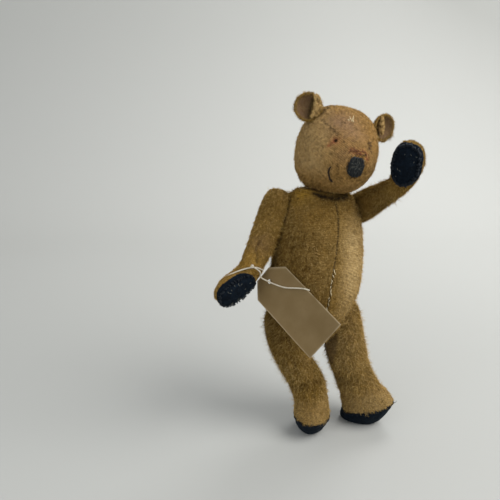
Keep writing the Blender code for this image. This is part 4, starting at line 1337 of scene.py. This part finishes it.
def makeRoll(name):
    look = rollLook[name]
    seed = look["seed"]
    line = evenLine(smoothLine(inHead(*look["from"]), 30), 0.6 * mm)
    count = len(line)
    radii = [look["radius"] * mm * (0.45 + 0.55 * math.sin(math.pi * (n + 0.5) / count)) for n in range(count)]
    target = ([], [], [])
    tubeMesh(target, line, radii, 12)
    roll = rounded(name + "Skin", newMesh("blank", *target[:2]), **rollShape)
    points, normals = readPoints(roll.data)
    lumps = cloud(points, 3, seed)
    lift = 0.6 * lumps + 0.35 * cloud(points, 1.3, seed + 1)
    writePoints(roll.data, points + normals * lift[:, None] * mm)
    # painted shade in the dips between the lumps and painted light on their tops
    marks = {
        "grime": 0.8 * unit(-2.2 * lumps), "gold": 0.15 + 0.15 * lumps, "bleach": 0.6 + 0.4 * lumps,
        "pile": 0.9 + 0.5 * lumps, "reach": 0.9 + 0.4 * lumps,
        "rows": 2 * math.pi * cloud(points, 5, seed + 2) * 3,
    }
    combed = np.stack([cloud(points, 4, seed + number) for number in (3, 4, 5)], axis=1)
    coat(roll, normals, marks, combed, clothGrounds["head"])
    enter("head", "worn_mohair", roll, growPile(roll, earPile, seed, "hairs"))


for name in rollLook:
    makeRoll(name)

earSeamLook = {"length": 2.6, "width": 0.42, "rise": 0.1, "lean": 75, "stray": 25, "aside": 0.6, "vary": 0.3}
nearEarFoot = inHead((-25, -3, 79), (-29, -6, 77), (-34, -4, 72), (-37, -1, 66))
farEarFoot = inHead((34, -2, 78), (38, -3, 73), (41, -1, 67), (43, 2, 62))
stitchLine("nearEarSewing", "head", None, nearEarFoot, 16, earSeamLook, darkThread, 51)
stitchLine("farEarSewing", "head", None, farEarFoot, 12, earSeamLook, darkThread, 52)

goldThread = makeThread("goldFray", (0.42, 0.27, 0.095), (0.22, 0.13, 0.04), 0.85)
oliveThread = makeThread("oliveFray", (0.26, 0.18, 0.060), (0.12, 0.08, 0.025), 0.85)
frayLook = {  # loose cloth and threads: places in the body's frame, then the way they hang, and millimetres
    "nearEarFray": {
        "thread": goldThread, "from": [(-39, -5.5, 91), (-35.5, -7, 86), (-34, -8, 80), (-36, -7.5, 72)],
        "towards": (0.25, -0.8, 0.1), "count": 130, "length": 2.8, "spread": 1.9, "curl": 0.5, "radius": 0.13,
    },
    "farEarFray": {
        "thread": oliveThread, "from": [(46, -1, 66), (50, 0, 66.5), (54, 1, 69), (56.5, 2, 73)],
        "towards": (0.35, -0.25, -0.9), "count": 80, "length": 4.6, "spread": 1.2, "curl": 0.42, "radius": 0.12,
    },
    "farEarTop": {
        "thread": oliveThread, "from": [(39, 0, 84), (41, 0, 88)],
        "towards": (-0.3, -0.3, 1), "count": 12, "length": 3.6, "spread": 1.2, "curl": 0.35, "radius": 0.12,
    },
    # dark threads along the neck seam, which also deepen the painted shadow under the chin
    "neckFray": {
        "thread": darkThread, "slot": "black_thread", "body": "torso", "from": neckPlaces,
        "towards": (0, -0.7, 0.3), "count": 90, "length": 2.6, "spread": 1.6, "curl": 0.6, "radius": 0.13,
    },
    "crownFray": {
        "thread": darkThread, "slot": "black_thread", "from": [(-27, -4, 80), (-22, -2, 83.5)],
        "towards": (0.1, -0.2, 1), "count": 14, "length": 3.4, "spread": 1.0, "curl": 0.5, "radius": 0.13,
    },
    "browFray": {
        "thread": rustThread, "from": [(-8, -51, 51), (-1.5, -53, 51), (6.2, -52, 51.5), (9.5, -52, 47)],
        "towards": (0.3, -0.5, -0.6), "count": 46, "length": 2.4, "spread": 1.5, "curl": 0.75, "radius": 0.15,
    },
    "eyeFray": {
        "thread": rustThread, "from": [(-22.5, -38.2, 55.4), (-25, -38.2, 52.6)],
        "towards": (-0.4, -0.4, -0.6), "count": 12, "length": 1.8, "spread": 0.7, "curl": 0.6, "radius": 0.11,
    },
    "farEyeFray": {
        "thread": brownThread, "slot": "black_thread", "from": [(14, -40, 62.5), (12, -47.5, 54.5)],
        "towards": (0.1, -0.6, -0.5), "count": 22, "length": 3.0, "spread": 2.2, "curl": 0.8, "radius": 0.16,
    },
    "strawFray": {
        "thread": paleThread, "slot": "wood_wool",
        "from": [(-7.6, -27, 76.5), (-5, -25, 78.5), (-2.3, -22.5, 80.3)],
        "towards": (-0.3, -0.6, 0.5), "count": 15, "length": 4.6, "spread": 2.6, "curl": 0.9, "radius": 0.36,
    },
}


def makeFray(name):
    look = frayLook[name]
    rng = random.Random(name)
    body = look.get("body", "head")
    frame = torsoFrame if body == "torso" else headFrame
    line = evenLine(smoothLine(inFrame(frame, look["from"]), 30), 0.3 * mm)
    towards = frame.to_3x3() @ Vector(look["towards"])
    target = ([], [], [])
    for _ in range(look["count"]):
        start = line[rng.randrange(len(line))]
        strewn = Vector((rng.gauss(0, 1), rng.gauss(0, 0.4), rng.gauss(0, 1)))
        place = start + strewn * look["spread"] * 0.6 * mm
        if "Ear" not in name:
            there, up = onSkin(body, place)
            place = there - up * 0.2 * mm
        aim = towards + anyWay(rng) * 0.8
        length, radius = look["length"] * rng.uniform(0.4, 1.15), look["radius"] * rng.uniform(0.7, 1.3)
        strayThread(target, place, aim, length, look["curl"], radius, rng)
    enter(body, look.get("slot", "worn_mohair"), tubesObject(name, target, look["thread"]))


for name in frayLook:
    makeFray(name)
print("the ears and their frayed cloth are done")

# nose, mouth and the darned places on the head

noseLook = {
    "threads": 13, "radius": 0.72, "width": 15.8, "height": 22, "lean": 0.16, "lift": 0.20, "sunk": 0.9,
    "steps": 60, "step": 0.9, "fewest": 8, "before": 20, "ends": 54, "lint": 40,
    "corners": [  # loose ends: where each starts and the way it points, in the head's frame
        ((-8.5, -54, 44), (-0.8, -0.3, 0.5)), ((-9.2, -54.2, 36), (-1, -0.2, 0.1)),
        ((6.5, -54, 44), (0.6, -0.3, 0.6)), ((-7, -54, 46), (-0.3, -0.4, 0.9)),
        ((2, -54.5, 27.6), (0.4, -0.3, -1)),
    ],
}
noseShape = {"voxel": 0.55, "rounds": 4, "swell": -0.15}
mouthLook = {
    "points": [(-21, -45.5, 31), (-22, -45, 28), (-21.6, -44.5, 23.5), (-18.6, -46, 18.8), (-16, -47, 17)],
    "radius": 0.80, "lift": 0.45, "sunk": 1.2,
}


def makeNose():
    look = noseLook
    base = rounded("noseBase", nodeCopy("nose_stitching"), **noseShape)
    dress(base, noseThread)
    points, _ = readPoints(base.data)
    setMark(base.data, "ply", np.zeros(len(points)))
    tree = surfaceTree(base)
    turn = headFrame.to_3x3()
    right, back, up = (turn @ Vector(axis) for axis in ((1, 0, 0), (0, 1, 0), (0, 0, 1)))
    middle = Vector(points.mean(axis=0))
    before = back * look["before"] * mm
    rng = random.Random(8)
    threads, ends, lint = (([], [], []) for _ in range(3))
    for number in range(look["threads"]):
        share = (number + 0.5) / look["threads"] - 0.5
        across = share * look["width"] * mm + rng.uniform(-0.12, 0.12) * mm
        lean = look["lean"] * rng.uniform(-0.7, 1)
        run = []
        for step in range(look["steps"] + 1):
            rise = (step / look["steps"] - 0.5) * look["height"] * mm
            start = middle + right * (across + lean * rise) + up * rise - before
            hit, normal, _, _ = tree.ray_cast(start, back, 2 * look["before"] * mm)
            if hit and normal.dot(back) < -0.35:
                run.append(hit + normal * look["lift"] * mm)
        if len(run) < look["fewest"]:
            continue
        sunk = back * look["sunk"] * mm
        line = [run[0] + sunk] + evenLine(run, look["step"] * mm) + [run[-1] + sunk]
        radius = look["radius"] * rng.uniform(0.85, 1.15) * mm
        last = len(line) - 1
        radii = [radius * (0.6 if step in (0, last) else rng.uniform(0.92, 1.08)) for step in range(last + 1)]
        tubeMesh(threads, line, radii, 8, False, 1.5)
    for _ in range(look["ends"]):  # frayed edge
        around = rng.uniform(0, 2 * math.pi)
        aside, above = right * math.cos(around), up * math.sin(around)
        guess = middle + aside * rng.uniform(7.2, 8.8) * mm + above * rng.uniform(8.2, 9.8) * mm
        there, out = onSkin("head", guess)
        start, aim = there + out * 0.6 * mm, aside + above - back * 0.3
        strayThread(ends, start, aim, rng.uniform(1.2, 2.8), 0.5, 0.26, rng)
    for corner, aim in look["corners"]:
        place = headFrame @ (Vector(corner) * mm)
        strayThread(ends, place, turn @ Vector(aim), rng.uniform(1.6, 3.0), 0.4, 0.2, rng)
    # grey lint, which also stands in for the nose's highlights: painted highlights
    for _ in range(look["lint"]):  # grey lint caught on the threads
        start = middle + right * rng.uniform(-6, 6) * mm + up * rng.uniform(-7, 7) * mm - before
        hit, normal, _, _ = tree.ray_cast(start, back, 2 * look["before"] * mm)
        if hit:
            aim = up + right * rng.uniform(-0.6, 0.6)
            strayThread(lint, hit + normal * 0.75 * mm, aim, rng.uniform(1.2, 3.0), 0.45, 0.22, rng)
    enter(
        "head", "black_thread", base, tubesObject("noseThreads", threads, noseThread),
        tubesObject("noseThreadEnds", ends, noseThread), tubesObject("noseLint", lint, greyLint),
        replaces="nose_stitching",
    )


def makeMouth():
    look = mouthLook
    line = []
    for place in evenLine(smoothLine(inHead(*look["points"]), 30), 0.8 * mm):
        there, up = onSkin("head", place)
        line.append(there + up * look["lift"] * mm)
    first, last = onSkin("head", line[0])[1], onSkin("head", line[-1])[1]
    line = [line[0] - first * look["sunk"] * mm] + line + [line[-1] - last * look["sunk"] * mm]
    target, radius = ([], [], []), look["radius"] * mm
    tubeMesh(target, line, [radius * 0.7] + [radius] * (len(line) - 2) + [radius * 0.7], 8, False, 2.6)
    enter("head", "black_thread", tubesObject("mouthThread", target, darkThread), replaces="mouth_stitch")


makeNose()
makeMouth()
darnLook = {
    "length": 2.2, "width": 0.36, "rise": 0.45, "lean": 62, "stray": 28, "aside": 0.5, "vary": 0.35,
    "cross": True,
}
eyePatchLook = {
    "length": 2.8, "width": 0.44, "rise": 0.5, "lean": 40, "stray": 60, "aside": 2.3, "vary": 0.45,
    "cross": True,
}
browLook = {
    "length": 2.8, "width": 0.52, "rise": 0.5, "lean": 25, "stray": 70, "aside": 2.8, "vary": 0.5,
    "cross": True,
}
cheekLine = inHead((-16, -42, 58.5), (-12, -46.5, 54), (-8, -51, 49.5))
lostEyeLine = inHead((13.6, -39.6, 62.5), (14, -43.5, 58.5), (12.4, -47.3, 54))
darkBridgeLine = inHead((-6, -51, 51), (1, -52.6, 51), (7.5, -51.4, 50))
for name, line, count, look, thread, seed in (
    ("browDarning", browLine, 17, darnLook, darkThread, 61),
    ("cheekDarning", cheekLine, 6, {**darnLook, "length": 1.7}, darkThread, 62),
    ("lostEyeStitches", lostEyeLine, 12, eyePatchLook, brownThread, 63),
    ("bridgeDarning", bridgeLine, 26, browLook, rustThread, 64),
    ("bridgeDarkDarning", darkBridgeLine, 9, {**browLook, "width": 0.36}, darkThread, 65),
):
    stitchLine(name, "head", "black_thread", line, count, look, thread, seed)
print("the nose, mouth and darning are done")

# stitches and worn places on the body

frontLook = {"length": 1.7, "width": 0.34, "rise": 0.35, "lean": 78, "stray": 14, "aside": 0.2, "vary": 0.3}
mendLook = {"length": 4.2, "width": 0.55, "rise": 0.9, "lean": 12, "stray": 30, "aside": 0.7, "vary": 0.5}
curlLook = {**mendLook, "length": 3.4, "aside": 2.6, "stray": 60}
mendLine = inTorso((-3.6, -45.6, 75), (-5, -46, 60), (-5.5, -44, 40), (-5.6, -42, 28))
curlLine = inTorso((-27, -37, 98), (-23, -39, 94), (-20, -40, 88))
stitchLine("frontSeamStitches", "torso", "black_thread", frontSeam[1:7], 58, frontLook, darkThread, 66)
stitchLine("frontMend", "torso", "cotton_string", mendLine, 12, mendLook, paleThread, 67)
stitchLine("bellyCurls", "torso", "cotton_string", curlLine, 6, curlLook, goldThread, 68)
print("the body's stitches are done")

# paw and foot pads

padLook = {  # swell, lump, and the stitches' length and thickness in millimetres
    "paw_pad_r": {
        "name": "pawPadRight", "body": "arm_right", "voxel": 0.6, "rounds": 5, "swell": 0.45,
        "spread": 1.03, "lump": 0.42, "seed": 81, "stitches": 64, "long": 3.2, "thick": 1.2,
        "ragged": 40, "flecks": 24,
    },
    "paw_pad_l": {
        "name": "pawPadLeft", "body": "arm_left", "voxel": 0.6, "rounds": 5, "swell": 0.50,
        "spread": 1.01, "lump": 0.55, "seed": 82, "stitches": 84, "long": 3.6, "thick": 1.6,
        "ragged": 50, "flecks": 9,
    },
}
footLook = {
    "foot_pad_r": {"name": "footPadRight", "body": "leg_right", "seed": 83, "stitches": 54},
    "foot_pad_l": {"name": "footPadLeft", "body": "leg_left", "seed": 84, "stitches": 58},
}
soleShape = {"voxel": 0.8, "rounds": 5, "swell": 0.35}
padOutline = 2.25  # how square the pads' outline is: 2 would be an ellipse


def makePawPad(node):
    look = padLook[node]
    name, body, seed = look["name"], look["body"], look["seed"]
    pad = rounded(name, nodeCopy(node), look["voxel"], look["rounds"], look["swell"])
    points, normals = readPoints(pad.data)
    middle = points.mean(axis=0)
    flat = points - middle
    long, wide, out = np.linalg.svd(flat, full_matrices=False)[2]
    start, down, _ = limbLine(body)
    offset = middle - start * mm
    out = out * np.sign(out @ (offset - down * (offset @ down)))  # away from the arm's middle line
    reachLong, reachWide = np.abs(flat @ long).max(), np.abs(flat @ wide).max()
    edge = np.sqrt(((flat @ long) / reachLong) ** 2 + ((flat @ wide) / reachWide) ** 2)
    outer = unit((normals @ out) * 2)
    lift = look["lump"] * (cloud(points, 3.2, seed) + 0.7 * cloud(points, 7, seed + 1)) * outer
    lift += 0.5 * outer * np.clip((0.80 - edge) / 0.4, -0.4, 1)
    inPlane = flat - (flat @ out)[:, None] * out
    writePoints(pad.data, points + inPlane * (look["spread"] - 1) + normals * lift[:, None] * mm)
    dress(pad, navyVelvet)
    tree = surfaceTree(pad)
    rng = random.Random(seed)
    middle, above = Vector(middle), Vector(out) * 3 * mm

    def awayAt(turn):
        return Vector(long) * math.cos(turn) * reachLong + Vector(wide) * math.sin(turn) * reachWide

    stitches, rag = [], ([], [], [])
    for number in range(look["stitches"] + look["ragged"]):
        whip = number < look["stitches"]
        turn = 2 * math.pi * (number / look["stitches"] if whip else rng.random()) + rng.uniform(-0.05, 0.05)
        reach = (abs(math.cos(turn)) ** padOutline + abs(math.sin(turn)) ** padOutline) ** (-1 / padOutline)
        away = awayAt(turn)
        guess = middle + away * look["spread"] * reach * (0.97 if whip else 0.99) + above
        there, up, _, _ = tree.find_nearest(guess)
        up = (up + Vector(out) * 0.6).normalized()
        side = up.cross(away).normalized()
        away.normalize()
        if whip:
            stitches.append((
                there + up * 0.25 * mm + away * rng.uniform(-0.5, 0.5) * mm,
                (away + side * rng.uniform(0.1, 0.7)).normalized(), up,
                look["long"] * rng.uniform(0.75, 1.2) * mm,
            ))
        else:
            aim = away + up * rng.uniform(-0.3, 0.6) + side * rng.uniform(-0.7, 0.7)
            strayThread(rag, there, aim, rng.uniform(1.0, 2.6), 0.5, rng.uniform(0.16, 0.34), rng)
    whips = setStitches(name + "Whips", stitches, look["thick"], navyThread, seed, 0.15)
    rags = tubesObject(name + "Rags", rag, navyThread)
    flecks = []
    # the grey wrinkles are painted highlights, where light would catch the velvet's folds
    for _ in range(look["flecks"]):  # wrinkles and old stitches pulled through the velvet
        turn, reach = rng.uniform(0, 2 * math.pi), math.sqrt(rng.random()) * 0.82
        there, up, _, _ = tree.find_nearest(middle + awayAt(turn) * reach + above)
        flecks.append((there + up * 0.05 * mm, anyWay(rng), up, 1.7 * mm))
    flecked = setStitches(name + "Flecks", flecks, 0.40, greyLint, seed + 9, 0.5)
    enter(body, "navy_velvet", pad, whips, rags, flecked, replaces=node)


def makeFootPad(node):
    look = footLook[node]
    name, body, seed = look["name"], look["body"], look["seed"]
    sole = nodeCopy(node)
    corners = np.array([vert.co for vert in sole.vertices])
    facingUp = sum(np.array(face.normal) * face.area for face in sole.polygons if face.normal.z > 0.85)
    upward = facingUp / np.linalg.norm(facingUp)
    top = corners[np.abs((corners - corners[np.argmax(corners @ upward)]) @ upward) < 0.35 * mm]
    middle = top.mean(axis=0)
    pad = rounded(name, sole, **soleShape)
    points, normals = readPoints(pad.data)
    low = unit(points[:, 2] / (3 * mm))
    lift = 0.32 * (cloud(points, 4, seed) + 0.8 * cloud(points, 9, seed + 1)) * low
    moved = points + normals * lift[:, None] * mm
    moved[:, 2] = np.maximum(moved[:, 2], 0.05 * mm)
    writePoints(pad.data, moved)
    dress(pad, navyVelvet)
    tree = surfaceTree(pad)
    rise = Vector(upward)
    first = rise.orthogonal().normalized()
    second = rise.cross(first)
    rng = random.Random(seed)
    stitches, rag = [], ([], [], [])
    for number in range(look["stitches"]):
        turn = 2 * math.pi * (number + rng.uniform(-0.2, 0.2)) / look["stitches"]
        away = first * math.cos(turn) + second * math.sin(turn)
        rimmed = max((top - middle) @ np.array(away))
        there, up, _, _ = tree.find_nearest(Vector(middle) + away * (rimmed + 2 * mm) - rise * 0.6 * mm)
        up = (up - rise * up.dot(rise) * 0.8).normalized()
        side = rise.cross(up).normalized()
        stitches.append((
            there + rise * rng.uniform(0.2, 1.2) * mm + up * 0.55 * mm,
            (rise + side * rng.uniform(-0.1, 0.6)).normalized(), up, rng.uniform(2.8, 4.6) * mm,
        ))
        if number % 2:
            start = there + rise * 1.0 * mm + up * 0.4 * mm
            aim = rise + side * rng.uniform(-0.8, 0.8) + up * 0.3
            strayThread(rag, start, aim, rng.uniform(1.2, 2.8), 0.4, 0.2, rng)
    if node == "foot_pad_l":
        toe = Vector(max(top, key=lambda corner: corner @ np.array((0.85, -0.52, 0))))
        strayThread(rag, toe + Vector((0.5, -0.3, 0)) * mm, (0.75, -0.3, 0.75), 5.5, 0.22, 0.34, rng)
        strayThread(rag, toe, (0.4, -0.5, 0.9), 3.5, 0.3, 0.26, rng)
    whips = setStitches(name + "Whips", stitches, 0.85, navyThread, seed, 0.2)
    enter(body, "navy_velvet", pad, whips, tubesObject(name + "Rags", rag, navyThread), replaces=node)


for node in padLook:
    makePawPad(node)
for node in footLook:
    makeFootPad(node)
print("the velvet pads are done")

# card tag, its string and the loop on the wrist

tagLook = {
    "width": 48, "length": 96, "thick": 0.7, "corner": 14, "holeAt": 11, "hole": 2.5,
    "holePoints": 18, "bow": 1.1, "cell": 3.0, "dent": 0.07, "wornLitEdge": 1.3,
}
tagHole = Vector((-43.3, 4.2, 182.5)) * mm
tagDown = Vector((0.435, -0.725, -0.534)).normalized()
tagFace = Vector((-0.730, -0.631, 0.262))
tagFace = (tagFace - tagDown * tagFace.dot(tagDown)).normalized()
tagAcross = tagDown.cross(tagFace)


def inCard(place, corners):
    for first, second in zip(corners, corners[1:] + corners[:1]):
        if (second[0] - first[0]) * (place[1] - first[1]) - (second[1] - first[1]) * (place[0] - first[0]) < 0:
            return False
    return True


def cardRim(corners, rng):
    # the card's outline, with small dents
    rim = []
    for first, second in zip(corners, corners[1:] + corners[:1]):
        steps = int(math.dist(first, second) / 2)
        for step in range(steps):
            share = step / steps
            wear = rng.uniform(-tagLook["dent"], tagLook["dent"]) if 0 < step < steps - 1 else 0
            rim.append(tuple(a + (b - a) * share + wear for a, b in zip(first, second)))
    return rim


def makeTag():
    look = tagLook
    half, end, start, cut = look["width"] / 2, look["length"] - look["holeAt"], -look["holeAt"], look["corner"]
    corners = [
        (-half, start + cut), (-half + cut, start), (half - cut, start), (half, start + cut),
        (half, end), (-half, end),
    ]
    rim = cardRim(corners, random.Random(91))
    turns = [math.radians(360 * n / look["holePoints"]) for n in range(look["holePoints"])]
    hole = [(look["hole"] * math.cos(turn), look["hole"] * math.sin(turn)) for turn in turns]
    inner = []
    for column in range(int(look["width"] / look["cell"])):
        for row in range(int(look["length"] / look["cell"])):
            x, y = -half + (column + 0.5) * look["cell"], start + (row + 0.5) * look["cell"]
            if abs(x) + max(0, start + cut - y) < half - 1 and math.hypot(x, y) > look["hole"] + 1:
                inner.append((x, y))
    flat = [Vector(point) for point in rim + hole + inner]
    loops = [list(range(len(rim))), list(range(len(rim), len(rim) + len(hole)))]
    places, _, triangles = delaunay_2d_cdt(flat, [], loops, 0, 1e-6)[:3]
    kept = []
    for face in triangles:
        middle = sum((places[v] for v in face), Vector((0, 0))) / 3
        if math.hypot(*middle) > look["hole"] * 0.98 and inCard(middle, corners):
            kept.append(face)
    count = len(places)
    verts, edgeMarks = [], []
    for side in (1, -1):
        for place in places:
            x, y = place
            bow = look["bow"] * ((x / half) ** 2 * 0.5 - 0.5 + 0.55 * math.sin((y + 11) / 31))
            out = bow + 0.25 * math.sin(x / 7 + y / 19) + side * look["thick"] / 2
            verts.append(tagHole + (tagAcross * x + tagDown * y + tagFace * out) * mm)
            toCut = (half - cut - start + y - abs(x)) * math.sqrt(0.5)
            border = min(half - abs(x), y - start, end - y, toCut)
            # the rim mark: worn card near the edges, and a painted highlight there
            edgeMarks.append(max(0.0, 1 - max(border, 0) / look["wornLitEdge"]))
    faces = [tuple(face) for face in kept] + [tuple(count + v for v in reversed(face)) for face in kept]
    used = {pair for face in kept for pair in zip(face, face[1:] + face[:1])}
    faces += [(b, a, count + a, count + b) for a, b in sorted(used) if (b, a) not in used]
    mesh = newMesh("tagCard", verts, faces)
    faceOutwards(mesh)
    setMark(mesh, "edge", edgeMarks)
    mesh.materials.append(manilaCard)
    enter("arm_right", "manila_card", linkObject("tagCard", mesh), replaces="tag")


stringLook = {"radius": 0.80, "step": 0.45, "points": 34}
stringPlaces = [
    (-62.89, -2.82, 202.37), (-55.72, -1.12, 196.15), (-53.20, 3.65, 188.31), (-44.47, 3.19, 182.92),
    (-39.43, -3.28, 181.38), (-32.28, -11.94, 180.43), (-24.73, -20.07, 181.90), (-18.04, -27.30, 183.12),
    (-14.07, -32.12, 182.59),
]
knotPlace = Vector((-64.67, -3.24, 203.92)) * mm
knotLook = {"steps": 60, "radius": 0.62, "ring": 1.15, "wander": 0.2, "along": 0.75}
knotEnds = [(-0.7, -0.6, 0.1), (-0.2, -0.8, -0.5)]


def stringAlong(target, line, closed=False):
    pliedMesh(target, evenLine(line, stringLook["step"] * mm, closed), stringLook["radius"] * mm, closed)


def makeKnot(towards):
    # two turns of the same string
    look = knotLook
    knot = ([], [], [])
    side = towards.cross(Vector((0, -1, 0.4))).normalized()
    other = towards.cross(side)
    ring = []
    for step in range(look["steps"]):
        turn = 4 * math.pi * step / look["steps"]
        around = side * math.cos(turn) + other * math.sin(turn)
        out = look["ring"] + look["wander"] * math.sin(turn * 1.5)
        ring.append(knotPlace + around * out * mm + towards * look["along"] * math.sin(turn * 1.5 + 0.6) * mm)
    pliedMesh(knot, ring, look["radius"] * mm, True)
    rng = random.Random(95)
    for aim in knotEnds:
        strayThread(knot, knotPlace, aim, 3.4, 0.3, 0.42, rng)
    return tubesObject("stringKnot", knot, cottonString)


def makeString():
    path = smoothLine([Vector(place) * mm for place in stringPlaces], stringLook["points"])
    target = ([], [], [])
    stringAlong(target, path)
    string = tubesObject("tagString", target, cottonString)
    enter("arm_right", "cotton_string", string, replaces="tag_string")
    knotted = makeKnot((path[1] - path[0]).normalized())
    enter("arm_right", "cotton_string", knotted, replaces="string_knot")


loopLook = {"points": 26, "lint": 16}


def makeWristLoop():
    # the middle line of the CAD loop, point by point round the wrist
    points = np.array([vert.co for vert in nodeCopy("wrist_loop").vertices])
    middle = points.mean(axis=0)
    wide, other, _ = np.linalg.svd(points - middle, full_matrices=False)[2]
    turns = np.arctan2((points - middle) @ other, (points - middle) @ wide)
    count = loopLook["points"]
    line = []
    for number in range(count):
        low = -math.pi + 2 * math.pi * number / count
        inside = (turns >= low) & (turns < low + 2 * math.pi / count)
        if inside.any():
            line.append(Vector(points[inside].mean(axis=0)))
    for _ in range(2):
        line = [(line[n - 1] + line[n] * 2 + line[(n + 1) % len(line)]) / 4 for n in range(len(line))]
    target = ([], [], [])
    stringAlong(target, line, True)
    rng = random.Random(96)
    for _ in range(loopLook["lint"]):
        place = line[rng.randrange(len(line))]
        strayThread(target, place, anyWay(rng), 1.3, 0.7, 0.09, rng)
    enter("arm_right", "cotton_string", tubesObject("wristLoop", target, cottonString), replaces="wrist_loop")


makeTag()
makeString()
makeWristLoop()
print("the tag and its string are done")

# what the covers hide

hiddenLook = {"stuffing": woodWool, "disc": pressedBoard, "washer": platedSteel, "pin": platedSteel}
for node, piece in cadNodes.items():
    kind = next((kind for kind in hiddenLook if node.endswith(kind)), None)
    if kind:
        dress(piece, hiddenLook[kind])

for wisp in list(wisps.objects):
    bpy.data.objects.remove(wisp)
bpy.data.collections.remove(wisps)
bpy.data.objects.remove(stitchShape)

print("everything is in place")
